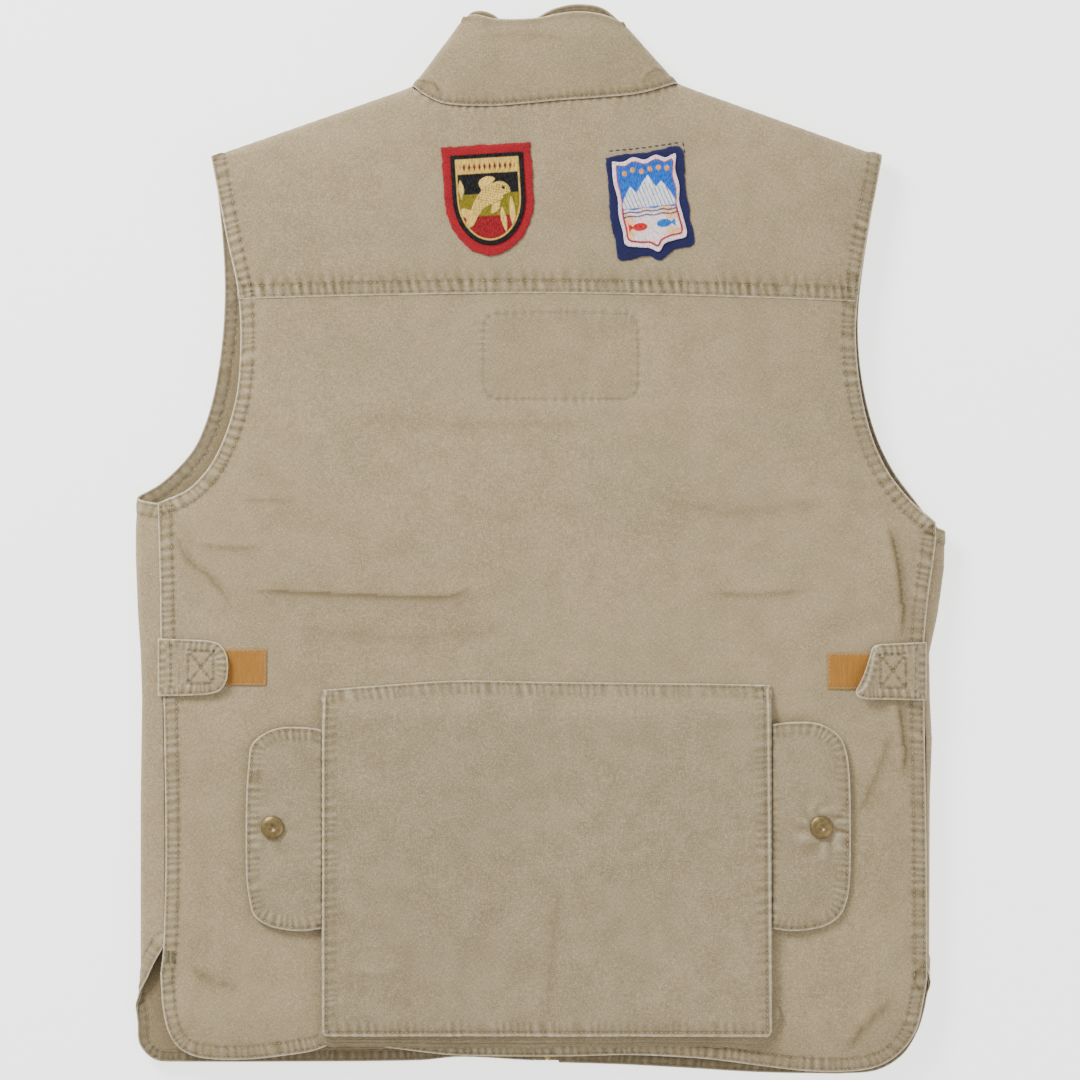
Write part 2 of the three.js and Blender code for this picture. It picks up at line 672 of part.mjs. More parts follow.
// A pocket whose mouth is towards the collar, with a flap that hangs over the mouth and snaps shut.
function makeFrontPocket(name, { width, height, flap, centreX, aboveHem }) {
  const yLow = yFrontHem + aboveHem;
  const yMouth = yLow + height;
  const yHinge = yMouth + 8;
  const yStepTop = yMouth - flap;
  const yStepLow = yStepTop - 10;
  const zHead = zFront - SEW_GAP;
  const xLow = centreX - width / 2;
  const xHigh = centreX + width / 2;
  const xSnap = centreX;
  const ySnap = yMouth - 0.62 * flap;

  const outer = [V(yLow, 0), V(yStepLow, 0), V(yStepTop, zPocketUnder), V(yMouth, zPocketUnder)];
  const innerSide = [
    V(yMouth, zPocketUnder + CLOTH),
    V(yStepTop - 0.6, zPocketUnder + CLOTH),
    V(yStepLow - 0.6, CLOTH),
    V(yLow + CLOTH, CLOTH),
    V(yLow + CLOTH, zHead),
    V(yLow, zHead),
  ];
  const panel = prismAlongX([...outer, ...innerSide], xLow, xHigh);
  const side = [...outer, V(yMouth, zHead), V(yLow, zHead)];
  const pocket = union(
    panel,
    prismAlongX(side, xLow, xLow + CLOTH),
    prismAlongX(side, xHigh - CLOTH, xHigh),
  );
  addPair(`${name}_pocket`, pocket.subtract(snapHole(zPocketUnder, xSnap, ySnap)), cloth);

  const flapOver = 4; // the flap is this much wider than the pocket, on each side
  const flapEnd = yStepTop + 5;
  const flapCorner = 10;
  const zRoot = zFront - SEW_GAP;
  const profile = [
    V(flapEnd, zFlapUnder),
    V(yHinge, zFlapUnder),
    V(yHinge, zRoot),
    V(yHinge - 2 * CLOTH, zRoot),
    V(yHinge - 2 * CLOTH, zFlapUnder + CLOTH),
    V(flapEnd, zFlapUnder + CLOTH),
  ];
  const rounded = [
    V(xLow - flapOver, yHinge),
    V(xLow - flapOver, flapEnd + flapCorner),
    V(xLow - flapOver + 0.3 * flapCorner, flapEnd + 0.3 * flapCorner),
    V(xLow - flapOver + flapCorner, flapEnd),
    V(xHigh + flapOver - flapCorner, flapEnd),
    V(xHigh + flapOver - 0.3 * flapCorner, flapEnd + 0.3 * flapCorner),
    V(xHigh + flapOver, flapEnd + flapCorner),
    V(xHigh + flapOver, yHinge),
  ];
  const flapSolid = prismAlongX(profile, xLow - flapOver, xHigh + flapOver)
    .intersect(plate(rounded, 0, zFront))
    .subtract(snapHole(zFlapUnder, xSnap, ySnap));
  addPair(`${name}_flap`, flapSolid, cloth);

  const turnedOver = (solid) => solid.rotate([180, 0, 0]);
  const zCap = zFlapUnder - SEW_GAP;
  const cap = turnedOver(snapCap(FRONT_CAP_HEIGHT, CLOTH + 2 * SEW_GAP));
  addPair(`${name}_snap_cap`, cap, snapMetal, [xSnap, ySnap, zCap]);
  const nipple = POCKET_FLAP_GAP - CLOTH - 2 * SEW_GAP;
  const stud = turnedOver(snapStud(nipple, CLOTH));
  addPair(`${name}_snap_stud`, stud, snapMetal, [xSnap, ySnap, zPocketUnder - SEW_GAP]);
}

// ---------------------------------------------------------------- zip

const zZip = zInnerLow + SEW_GAP + ZIP_TAPE_THICKNESS / 2; // middle of the zip's thickness
const yZipTop = yNeckPoint - FRONT_NECK_DROP - ZIP_END;
const yZipLow = yFrontHem + ZIP_END;
const BOX_LENGTH = 9;

function makeZip() {
  const xTooth = ZIP_SLOT / 2;
  const yTeethLow = yZipLow + BOX_LENGTH + SEW_GAP;
  const halfThick = ZIP_THICKNESS / 2;
  const teeth = box(xTooth, xTooth + ZIP_TOOTH, yTeethLow, yZipTop, -halfThick, halfThick);
  addPair('zip_teeth', teeth, zipMetal, [0, 0, zZip]);

  const halfTape = ZIP_TAPE_THICKNESS / 2;
  const tape = box(xTape, xTape + ZIP_TAPE, yZipLow, yZipTop, -halfTape, halfTape);
  addPair('zip_tape', tape, zipTapeCloth, [0, 0, zZip]);

  const retainer = box(-xTape + SEW_GAP, xTape - SEW_GAP, yZipLow, yZipLow + BOX_LENGTH, -1.5, 1.5);
  addPiece('zip_box', retainer, zipMetal, [0, 0, zZip]);
}

// Two plates with the teeth between them, a thin web in the slot, and an arch that holds the pull.
function makeSlider() {
  const halfLong = SLIDER_LENGTH / 2;
  const halfWide = SLIDER_WIDTH / 2;
  const inside = ZIP_THICKNESS / 2 + SEW_GAP;
  const outside = inside + SLIDER_PLATE;
  const web = ZIP_SLOT / 2 - SEW_GAP;
  const archReach = 2.6;
  const archHalf = 4;
  const archWidth = 0.9;
  const bar = 0.9;
  const zArch = -outside - archReach;
  const slider = union(
    box(-halfWide, halfWide, -halfLong, halfLong, -outside, -inside),
    box(-halfWide, halfWide, -halfLong, halfLong, inside, outside),
    box(-web, web, -halfLong, halfLong, -outside, outside),
    box(-archWidth, archWidth, -archHalf, -archHalf + bar, zArch, -inside),
    box(-archWidth, archWidth, archHalf - bar, archHalf, zArch, -inside),
    box(-archWidth, archWidth, -archHalf, archHalf, zArch - bar, zArch),
  );
  const ySlider = yZipTop - halfLong;
  addPiece('zip_slider', slider, zipMetal, [0, ySlider, zZip]);

  // The pull's end bar lies inside the arch, and its two side bars pass beside the arch.
  const eye = 1.4;
  const zPull = -outside - archReach / 2;
  const halfPull = PULL_THICKNESS / 2;
  const pull = roundedRectangle(0, eye / 2 - PULL_LENGTH / 2, PULL_WIDTH, PULL_LENGTH, 2);
  const windowHalf = archWidth + 0.8;
  const windowLength = 6;
  const window = box(-windowHalf, windowHalf, -eye / 2 - windowLength, -eye / 2, -2, 2);
  const body = plate(pull, -halfPull, halfPull).subtract(window);
  addPiece('zip_pull', body, zipMetal, [0, ySlider, zZip + zPull]);
}

// ---------------------------------------------------------------- patches on the yoke

// A shield: straight sides and a round foot, centred on the origin.
function shieldOutline(width, height) {
  const half = width / 2;
  const top = height / 2;
  const turn = -height / 2 + 0.78 * half;
  return [
    V(-half, top),
    V(-half * 0.97, turn),
    ...withoutFirst(curve(V(-half * 0.97, turn), V(-half * 0.9, -top * 0.8), V(-half * 0.4, -top), V(0, -top), 8)),
    ...withoutFirst(curve(V(0, -top), V(half * 0.4, -top), V(half * 0.9, -top * 0.8), V(half * 0.97, turn), 8)),
    V(half, top),
  ];
}

// A crest: a waved top and a foot that comes to a point, centred on the origin.
function crestOutline(width, height) {
  const half = width / 2;
  const top = height / 2;
  const foot = -top + 0.2 * height;
  return [
    V(-half, top * 0.94),
    V(-half, foot),
    V(-half * 0.55, foot * 1.16),
    V(0, -top),
    V(half * 0.55, foot * 1.16),
    V(half, foot),
    V(half, top * 0.94),
    V(half * 0.5, top),
    V(0, top * 0.93),
    V(-half * 0.5, top),
  ];
}

function addPatch(name, outlineOf, { width, height, x, aboveSeam, tilt }, felt, face) {
  const holder = new THREE.Group();
  holder.position.set(x, yYoke + aboveSeam, zBackTop + SEW_GAP);
  holder.rotation.z = THREE.MathUtils.degToRad(tilt);
  const backing = new THREE.Mesh(geometryOf(plate(outlineOf(width, height), 0, CLOTH)), felt);
  backing.name = `${name}_felt`;
  const inner = outlineOf(width - 2 * PATCH_MARGIN, height - 2 * PATCH_MARGIN);
  const front = new THREE.Mesh(geometryOf(plate(inner, 0, FACING)), face);
  front.name = `${name}_face`;
  front.position.z = CLOTH + SEW_GAP;
  holder.add(backing, front);
  vest.add(holder);
}

// ---------------------------------------------------------------- assembly

makeBody();
makeFacings();
makeCollar();
makePouch();
makePouchFlaps();
makeTabs();
makeFrontPocket('lower', LOWER_POCKET);
makeFrontPocket('chest', CHEST_POCKET);
makeZip();
makeSlider();
addPatch('shield_patch', shieldOutline, SHIELD, feltRed, embroideryGold);
addPatch('crest_patch', crestOutline, CREST, feltBlue, embroideryBlue);

export default vest;
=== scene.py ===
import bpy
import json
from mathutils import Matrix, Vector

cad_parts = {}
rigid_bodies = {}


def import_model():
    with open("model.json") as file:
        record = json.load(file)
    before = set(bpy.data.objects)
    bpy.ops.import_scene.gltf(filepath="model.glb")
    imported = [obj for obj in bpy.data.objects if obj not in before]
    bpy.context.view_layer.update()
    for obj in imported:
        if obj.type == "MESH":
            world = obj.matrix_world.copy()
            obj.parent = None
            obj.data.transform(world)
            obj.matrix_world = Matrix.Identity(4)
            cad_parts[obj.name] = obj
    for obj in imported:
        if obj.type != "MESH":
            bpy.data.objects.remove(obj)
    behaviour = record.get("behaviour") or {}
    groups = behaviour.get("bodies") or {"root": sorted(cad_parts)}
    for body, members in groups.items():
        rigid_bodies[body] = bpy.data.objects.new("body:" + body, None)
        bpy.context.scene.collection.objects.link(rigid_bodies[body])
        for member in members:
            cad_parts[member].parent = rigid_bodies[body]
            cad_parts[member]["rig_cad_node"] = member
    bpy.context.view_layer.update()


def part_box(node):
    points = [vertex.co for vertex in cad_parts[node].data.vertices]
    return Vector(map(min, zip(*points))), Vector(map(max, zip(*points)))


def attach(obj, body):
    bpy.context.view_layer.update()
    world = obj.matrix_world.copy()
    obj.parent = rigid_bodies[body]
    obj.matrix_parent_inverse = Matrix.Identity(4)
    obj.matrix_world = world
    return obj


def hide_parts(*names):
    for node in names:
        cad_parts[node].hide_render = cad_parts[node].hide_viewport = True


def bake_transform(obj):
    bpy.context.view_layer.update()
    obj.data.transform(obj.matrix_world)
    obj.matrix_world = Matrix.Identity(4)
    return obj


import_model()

import json
import math

import bpy
import numpy as np
from mathutils import Vector
from mathutils.geometry import delaunay_2d_cdt

# Lengths in this file are millimetres until a mesh is made. Everything lies as the frame does:
# back up, collar towards +Y.
MM = 0.001
COARSE = 1.0

Z_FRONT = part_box("zip_tape_left")[0].z / MM - 1.3  # outer face of the front cloth
Z_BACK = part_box("back_panel")[1].z / MM  # outer face of the back cloth
Z_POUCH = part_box("pouch_panel")[1].z / MM
BACK_DROP = 8.0  # how far the back and front sink towards the outline
FRONT_DROP = 5.0
DROP_REACH = 40.0
FOLD_OF_HEM = 9.5
STITCH_PITCH = 3.3
STITCH_LENGTH = 2.5
SEAM_ROWS = (1.8, 9.1)  # how far a seam's two stitch rows lie from its edge


# ---------------------------------------------------------------- small maths

def smoothstep(low, high, x):
    t = np.clip((x - low) / (high - low), 0, 1)
    return t * t * (3 - 2 * t)


def noise(x, y, size, seed):
    """Smooth noise from -1 to 1, in lumps about size across."""
    table = np.random.default_rng(seed).uniform(-1, 1, (256, 256))
    u, v = np.asarray(x) / size + 40.3, np.asarray(y) / size + 60.7
    i, j = np.floor(u).astype(int), np.floor(v).astype(int)
    f, g = smoothstep(0, 1, u - i), smoothstep(0, 1, v - j)
    low = table[i % 256, j % 256] * (1 - f) + table[(i + 1) % 256, j % 256] * f
    high = table[i % 256, (j + 1) % 256] * (1 - f) + table[(i + 1) % 256, (j + 1) % 256] * f
    return low * (1 - g) + high * g


def spaced(points, step, closed=False):
    """The run of points again, about step apart."""
    p = np.asarray(points, float)
    if closed:
        p = np.vstack([p, p[:1]])
    along = np.concatenate([[0], np.cumsum(np.linalg.norm(np.diff(p, axis=0), axis=1))])
    count = max(2, int(round(along[-1] / step)) + 1)
    at = np.linspace(0, along[-1], count)
    out = np.stack([np.interp(at, along, p[:, k]) for k in range(p.shape[1])], axis=1)
    return out[:-1] if closed else out


def smooth(points, step=2.0):
    """A smooth line through the points, with its points about step apart."""
    p = np.asarray(points, float)
    if len(p) < 3:
        return spaced(p, step)
    ends = np.vstack([2 * p[0] - p[1], p, 2 * p[-1] - p[-2]])
    t = np.linspace(0, 1, 12, endpoint=False)[:, None]
    runs = []
    for a, b, c, d in zip(ends[:-3], ends[1:-2], ends[2:-1], ends[3:]):
        span = np.linalg.norm(c - b)
        m = (c - a) * span / max(np.linalg.norm(b - a) + span, 1e-9)
        n = (d - b) * span / max(np.linalg.norm(d - c) + span, 1e-9)
        h = 2 * t**3 - 3 * t**2 + 1, t**3 - 2 * t**2 + t, -2 * t**3 + 3 * t**2, t**3 - t**2
        runs.append(h[0] * b + h[1] * m + h[2] * c + h[3] * n)
    return spaced(np.vstack(runs + [p[-1:]]), step)


def joined(*runs):
    """One run of points out of several that meet end to end."""
    out = [np.asarray(runs[0], float)]
    for run in runs[1:]:
        run = np.asarray(run, float)
        out.append(run[1:] if np.linalg.norm(run[0] - out[-1][-1]) < 0.3 else run)
    return np.vstack(out)


def inset(points, distance):
    """The run moved sideways, to its left as it goes, without the points that bunch up."""
    p = np.asarray(points, float)
    d = np.gradient(p, axis=0)
    d /= np.maximum(np.linalg.norm(d, axis=1, keepdims=True), 1e-9)
    moved = p + distance * np.stack([-d[:, 1], d[:, 0]], axis=1)
    far = Line(p).near(moved, abs(distance) + 5)[0]
    return moved[far > 0.93 * abs(distance)]


class Line:
    """A run of points that knows how far another point is from it, and where along it."""

    def __init__(self, points, step=3.0, closed=False):
        p = spaced(points, step, closed)
        self.p = np.vstack([p, p[:1]]) if closed else p
        self.s = np.concatenate([[0], np.cumsum(np.linalg.norm(np.diff(self.p, axis=0), axis=1))])

    def near(self, q, reach=30.0):
        """Distance (at most reach) and length along, for each point."""
        far, along = np.full(len(q), float(reach)), np.zeros(len(q))
        hubs = spaced(self.p, 20.0)
        close = np.zeros(len(q), bool)
        for block in np.array_split(np.arange(len(q)), max(1, len(q) * len(hubs) // 2000000)):
            gap = q[block][:, None] - hubs
            close[block] = ((gap * gap).sum(2) < (reach + 15) ** 2).any(1)
        found = np.flatnonzero(close)
        a, d = self.p[:-1], np.diff(self.p, axis=0)
        dd = np.maximum((d * d).sum(1), 1e-12)
        for block in np.array_split(found, max(1, len(found) * len(a) // 1500000)):
            w = q[block][:, None] - a
            t = np.clip((w * d).sum(2) / dd, 0, 1)
            r = w - t[..., None] * d
            r2 = (r * r).sum(2)
            k = r2.argmin(1)
            rows = np.arange(len(block))
            far[block] = np.minimum(np.sqrt(r2[rows, k]), reach)
            along[block] = self.s[k] + t[rows, k] * (self.s[k + 1] - self.s[k])
        return far, along


def inside(q, outline):
    """True for each point that lies inside a closed outline."""
    a, b = outline, np.roll(outline, -1, axis=0)
    slope = (b[:, 0] - a[:, 0]) / np.where(a[:, 1] == b[:, 1], 1e-9, b[:, 1] - a[:, 1])
    out = np.zeros(len(q), bool)
    for block in np.array_split(np.arange(len(q)), max(1, len(q) * len(a) // 3000000)):
        x, y = q[block, 0][:, None], q[block, 1][:, None]
        crosses = ((a[:, 1] > y) != (b[:, 1] > y)) & (x < a[:, 0] + (y - a[:, 1]) * slope)
        out[block] = crosses.sum(1) % 2 == 1
    return out


def facing(q, z=1.0):
    """The direction of cloth that lies flat: up, or down where z is -1."""
    return np.tile([0.0, 0.0, z], (len(q), 1))


def tapered(line, along, most):
    """1 along a line, falling to 0 at its two ends."""
    taper = min(most, line.s[-1] / 4)
    return smoothstep(0, taper, along) * smoothstep(0, taper, line.s[-1] - along)


def tray(x0, y0, x1, top, corner, ease):
    """A run down one side, round two soft corners, and up the other side."""
    return joined([(x0, top), (x0, y0 + corner)],
                  smooth([(x0, y0 + corner), (x0 + ease, y0 + ease), (x0 + corner, y0)]),
                  [(x0 + corner, y0), (x1 - corner, y0)],
                  smooth([(x1 - corner, y0), (x1 - ease, y0 + ease), (x1, y0 + corner)]),
                  [(x1, y0 + corner), (x1, top)])


def straight_fold(a, b):
    """A straight fold from a to b: its start, its direction and the way out of it."""
    a, b = np.array(a, float), np.array(b, float)
    along = (b - a) / np.linalg.norm(b - a)
    return a, along, np.array([along[1], -along[0]])


# ---------------------------------------------------------------- materials

def node(tree, kind, **values):
    n = tree.nodes.new(kind)
    for key, value in values.items():
        if hasattr(n, key):
            setattr(n, key, value)
        else:
            n.inputs[key.replace("_", " ")].default_value = value
    return n


class Look:
    """A material under construction: its shader, and short ways to add to it."""

    def __init__(self, name, roughness, metallic=0.0, sheen=0.0, specular=0.5):
        self.material = bpy.data.materials.new(name)
        self.material.use_nodes = True
        self.tree = self.material.node_tree
        self.shader = self.tree.nodes["Principled BSDF"]
        for key, value in (("Roughness", roughness), ("Metallic", metallic), ("Sheen Weight", sheen),
                           ("Specular IOR Level", specular)):
            self.shader.inputs[key].default_value = value
        self.place = node(self.tree, "ShaderNodeTexCoord").outputs["Object"]
        self.height = None

    def link(self, a, b):
        self.tree.links.new(a, b)

    def noise(self, scale, stretch=(1, 1, 1), detail=3.0, rough=0.5, turn=0.0):
        at = node(self.tree, "ShaderNodeMapping")
        at.inputs["Scale"].default_value = stretch
        at.inputs["Rotation"].default_value = (0, 0, turn)
        self.link(self.place, at.inputs["Vector"])
        n = node(self.tree, "ShaderNodeTexNoise", Scale=scale, Detail=detail, Roughness=rough)
        self.link(at.outputs["Vector"], n.inputs["Vector"])
        return n.outputs["Fac"]

    def attribute(self, name):
        return node(self.tree, "ShaderNodeAttribute", attribute_name=name).outputs["Fac"]

    def ramp(self, fac, low, high, out_low=0.0, out_high=1.0):
        n = node(self.tree, "ShaderNodeMapRange", interpolation_type="SMOOTHSTEP")
        for key, value in zip(("From Min", "From Max", "To Min", "To Max"), (low, high, out_low, out_high)):
            n.inputs[key].default_value = value
        self.link(fac, n.inputs["Value"])
        return n.outputs["Result"]

    def maths(self, operation, a, b):
        n = node(self.tree, "ShaderNodeMath", operation=operation)
        for socket, value in zip(n.inputs, (a, b)):
            if isinstance(value, (int, float)):
                socket.default_value = value
            else:
                self.link(value, socket)
        return n.outputs["Value"]

    def mix(self, fac, a, b, blend="MIX"):
        n = node(self.tree, "ShaderNodeMix", data_type="RGBA", blend_type=blend)
        for socket, value in ((n.inputs[0], fac), (n.inputs[6], a), (n.inputs[7], b)):
            if isinstance(value, (int, float)):
                socket.default_value = value
            elif isinstance(value, tuple):
                socket.default_value = (*value, 1)
            else:
                self.link(value, socket)
        return n.outputs[2]

    def colour(self, socket):
        self.link(socket, self.shader.inputs["Base Color"])

    def bump(self, height, strength, distance):
        n = node(self.tree, "ShaderNodeBump", Strength=strength, Distance=distance)
        self.link(height, n.inputs["Height"])
        if self.height is not None:
            self.link(self.height, n.inputs["Normal"])
        self.height = n.outputs["Normal"]
        self.link(self.height, self.shader.inputs["Normal"])


def srgb(*rgb):
    return tuple((c / 255 / 12.92) if c <= 10 else ((c / 255 + 0.055) / 1.055) ** 2.4 for c in rgb)


def washed_cotton(name, base, light, dark, turn=0.0, mottle=1.0):
    """Washed cotton canvas: crossed threads, pale slubs, worn rims with painted highlight on pucker ridges,
    and painted shade in puckers and stitch grooves.
    """
    look = Look(name, 0.93, sheen=0.12, specular=0.2)
    warp = look.noise(560, (4.0, 0.8, 1), 2.0, 0.6, turn)
    weft = look.noise(560, (0.8, 4.0, 1), 2.0, 0.6, turn)
    weave = look.maths("ADD", look.maths("MULTIPLY", warp, 0.5), look.maths("MULTIPLY", weft, 0.5))
    broad = look.noise(9, detail=4.0)
    cloudy = look.noise(55, detail=5.0, rough=0.6)
    colour = look.mix(look.ramp(broad, 0.3, 0.7), tuple(0.95 * c for c in base),
                      tuple(1.05 * c for c in base))
    colour = look.mix(look.ramp(cloudy, 0.35, 0.7, 0, 0.2 * mottle), colour, dark)
    green = look.noise(14, (1, 1, 1), 3.0, 0.55, 0.7)
    colour = look.mix(look.ramp(green, 0.45, 0.7, 0, 0.22), colour,
                      tuple(c * k for c, k in zip(base, (0.88, 0.95, 0.92))))
    colour = look.mix(look.ramp(weave, 0.38, 0.58, 0.34, 0.0), colour, dark)
    colour = look.mix(look.ramp(weave, 0.48, 0.68, 0.0, 0.29), colour, light)
    fleck = look.noise(900, (1, 1, 1), 1.0, 0.5)
    colour = look.mix(look.ramp(fleck, 0.66, 0.74, 0.0, 0.32), colour, light)
    # The dark attribute holds painted shade of grooves, pucker troughs, creases and edges, and a few darker
    # tones of the cloth itself.
    colour = look.mix(look.attribute("dark"), colour, dark)
    # The light attribute holds worn rims and painted highlight on pucker ridges, mixed towards the pale
    # colour.
    wear_and_highlight = look.maths("MULTIPLY", look.attribute("light"),
                      look.ramp(look.noise(300), 0.3, 0.65, 0.45, 1.0))
    colour = look.mix(wear_and_highlight, colour, light)
    look.colour(colour)
    look.bump(look.noise(160, detail=3.0), 0.25, 0.0006)
    look.bump(weave, 0.55, 0.0005)
    return look.material


def felt(name, base, dark):
    look = Look(name, 1.0, sheen=0.5, specular=0.1)
    fuzz = look.noise(1400, detail=4.0, rough=0.7)
    colour = look.mix(look.ramp(fuzz, 0.3, 0.7), dark, base)
    look.colour(look.mix(look.ramp(look.noise(90), 0.45, 0.7, 0, 0.35), colour, dark))
    look.bump(fuzz, 0.8, 0.0008)
    return look.material


def satin_thread(name, base, across=(6.0, 0.5, 1), turn=0.0):
    """Embroidery: fine threads laid side by side."""
    look = Look(name, 0.5, sheen=0.15, specular=0.4)
    threads = look.noise(700, across, 2.0, 0.5, turn)
    dark, light = tuple(0.55 * c for c in base), tuple(min(1.0, 1.25 * c + 0.02) for c in base)
    look.colour(look.mix(look.ramp(threads, 0.35, 0.6), dark, light))
    look.bump(threads, 0.9, 0.0005)
    return look.material


def metal(name, base, dark, roughness=0.38):
    look = Look(name, roughness, metallic=0.85)
    colour = look.mix(look.ramp(look.noise(350, detail=4.0), 0.42, 0.68), base, dark)
    look.colour(colour)
    look.bump(look.noise(2500, detail=2.0), 0.15, 0.0002)
    return look.material


def ribbed_tape(name, base, dark, light):
    """Loop tape: fuzzy pile in narrow ribs."""
    look = Look(name, 1.0, sheen=0.3, specular=0.15)
    pile = look.noise(1100, (1.6, 1, 1), 4.0, 0.7)
    ribs = look.noise(620, (3.0, 0.12, 1), 1.0)
    colour = look.mix(look.ramp(ribs, 0.3, 0.7, 0.35, 0.85), dark, base)
    colour = look.mix(look.ramp(pile, 0.5, 0.75, 0, 0.35), colour, light)
    # The light attribute pales the worn rim and, as painted highlight, the pucker ridges.
    look.colour(look.mix(look.ramp(look.attribute("light"), 0, 1, 0, 0.8), colour, light))
    look.bump(ribs, 0.5, 0.0006)
    look.bump(pile, 0.7, 0.0006)
    return look.material


KHAKI, PALE, OLIVE = srgb(160, 142, 110), srgb(208, 195, 166), srgb(92, 79, 50)
SHELL = washed_cotton("shell", KHAKI, PALE, OLIVE)
SHELL_TURNED = washed_cotton("shell_turned", tuple(0.97 * c for c in KHAKI), PALE, OLIVE, turn=0.05)
POUCH_SHELL = washed_cotton("shell_pouch", srgb(154, 138, 108), PALE, OLIVE, mottle=1.3)
LINING = washed_cotton("lining", srgb(138, 122, 92), srgb(180, 168, 142), srgb(92, 80, 58))
THREAD = satin_thread("thread", srgb(158, 144, 118))
DARK_THREAD = satin_thread("thread_dark", srgb(126, 112, 84))
RED_FELT = felt("felt_red", srgb(178, 14, 28), srgb(104, 6, 16))
NAVY_FELT = felt("felt_navy", srgb(24, 26, 88), srgb(10, 12, 40))
LOOP = ribbed_tape("loop_tape", srgb(164, 114, 48), srgb(138, 92, 34), srgb(200, 156, 92))
HOOK = ribbed_tape("hook_tape", srgb(160, 128, 80), srgb(122, 94, 54), srgb(190, 160, 112))
SNAP = metal("snap_brass", srgb(130, 111, 74), srgb(114, 96, 62), 0.42)
ZIP = metal("zip_brass", srgb(176, 150, 96), srgb(110, 90, 52), 0.32)
ZIP_TAPE = washed_cotton("zip_tape", srgb(140, 124, 98), srgb(168, 152, 124), srgb(104, 90, 66))


# ---------------------------------------------------------------- how the vest lies

# The outline of the whole vest as it lies, from the collar round the right side to the hem.
COLLAR_TOP_RIGHT = [(9, 374), (23, 376), (37, 373.5), (51, 364)]
COLLAR_RIGHT = [(51, 364), (60, 357), (73, 343), (85, 329), (92, 321)]
SHOULDER_RIGHT = [(92, 321), (236, 269.5)]
ARMHOLE_RIGHT = [(236, 269.5), (232, 247), (227, 222), (220, 178), (217.5, 147), (220, 112), (227.5, 77),
                 (239, 50), (255, 29), (273, 13), (280, 4)]
SIDE_RIGHT = [(280, 4), (279.5, -20), (275, -52), (269, -80), (269.5, -112), (271, -140), (269.5, -182),
              (269, -252), (269, -308)]
CORNER_RIGHT = [(269, -308), (267.5, -324), (263.5, -344), (251, -363), (233, -373.5), (205, -376)]
HEM = [(205, -376), (149, -374.5), (93, -371), (37, -368), (-5, -366.5), (-61, -364), (-90, -366.5),
       (-200, -367.5), (-257, -367.5)]
CORNER_LEFT = [(-257, -367.5), (-276, -366), (-287, -355), (-288, -338), (-286, -322)]
SIDE_LEFT = [(-286, -322), (-286, -308), (-285.5, -252), (-286, -182), (-285, -112), (-286, -80),
             (-288, -50), (-289.5, -10), (-289.5, 20), (-288, 30)]
ARMHOLE_LEFT = [(-288, 30), (-272, 40), (-256, 55), (-245.5, 70), (-236, 97), (-230, 130), (-227, 168),
                (-228, 205), (-232, 245), (-236, 269.5)]
SHOULDER_LEFT = [(-236, 269.5), (-94.5, 319)]
COLLAR_LEFT = [(-94.5, 319), (-90, 326), (-79, 343), (-67, 357), (-56, 367)]
COLLAR_TOP = [(-56, 367), (-45, 371), (-33, 367), (-8, 366.5), (9, 374)]

SILHOUETTE = Line(joined(
    smooth(COLLAR_TOP_RIGHT), smooth(COLLAR_RIGHT), SHOULDER_RIGHT, smooth(ARMHOLE_RIGHT),
    smooth(SIDE_RIGHT), smooth(CORNER_RIGHT), smooth(HEM), smooth(CORNER_LEFT), smooth(SIDE_LEFT),
    smooth(ARMHOLE_LEFT), SHOULDER_LEFT, smooth(COLLAR_LEFT), smooth(COLLAR_TOP),
), 6.0, closed=True)

SEAM_LEFT = [(-273, 26), (-271.5, -30), (-271, -70), (-269, -112), (-267.5, -217), (-269, -284),
             (-271, -304)]
SEAM_RIGHT = [(273, 13), (273, 0), (267, -45), (264.5, -80), (265, -126), (266.5, -217), (267, -308)]
BACK_ARMHOLE_LEFT = [(-236, 269.5), (-230, 238), (-224, 208), (-217, 175), (-215, 140), (-218.5, 98),
    (-232, 59.5), (-250, 37), (-273, 26)]
YOKE_SEAM = [(-217.5, 168.7), (-110, 171.5), (0, 172.8), (110, 170.8), (218.7, 167.3)]

# Soft creases: the points along each, its height, how wide it is, and how much steeper its far side is.
CREASES = [
    ([(-212, -34), (-148, -37), (-75, -39), (-58, -35), (-50, -26)], 1.5, 6.0, 0.65),
    ([(-262, 8), (-250, -14), (-236, -25), (-219, -46)], 1.2, 6.0, 0.5),
    ([(-250, -2), (-215, -5), (-194, -3)], 0.8, 5.0, 0.4),
    ([(-219, 28), (-196, 29), (-172, 27)], 0.7, 6.0, 0.4),
    ([(107, -36), (150, -37), (190, -33)], 0.8, 7.0, 0.4),
    ([(238, 18), (246, -14), (249, -44), (247, -72)], 2.0, 5.0, 0.3),
    ([(246, -108), (250.5, -140), (249, -168)], 1.9, 4.6, 0.3),
    ([(240, -128), (235, -150), (228, -168), (216, -196)], 1.0, 7.0, 0.3),
    ([(-253, -298), (-232, -308), (-214, -314)], 1.1, 6.0, 0.4),
    ([(244, -318), (222, -340), (205, -361)], 1.3, 7.0, 0.4),
    ([(-140, 92), (-60, 82), (40, 86)], 0.4, 12.0, 0.3),
    ([(60, 40), (120, 22), (200, 30)], 0.5, 14.0, 0.3),
    ([(-180, -60), (-100, -66), (-20, -60)], 0.45, 12.0, 0.3),
]
CREASE_LINES = [(Line(smooth(points)), height, width, skew) for points, height, width, skew in CREASES]


def drop(q):
    """How far a point has sunk towards the outline, from 0 to 1."""
    far, _ = SILHOUETTE.near(q, DROP_REACH)
    return (1 - far / DROP_REACH) ** 2


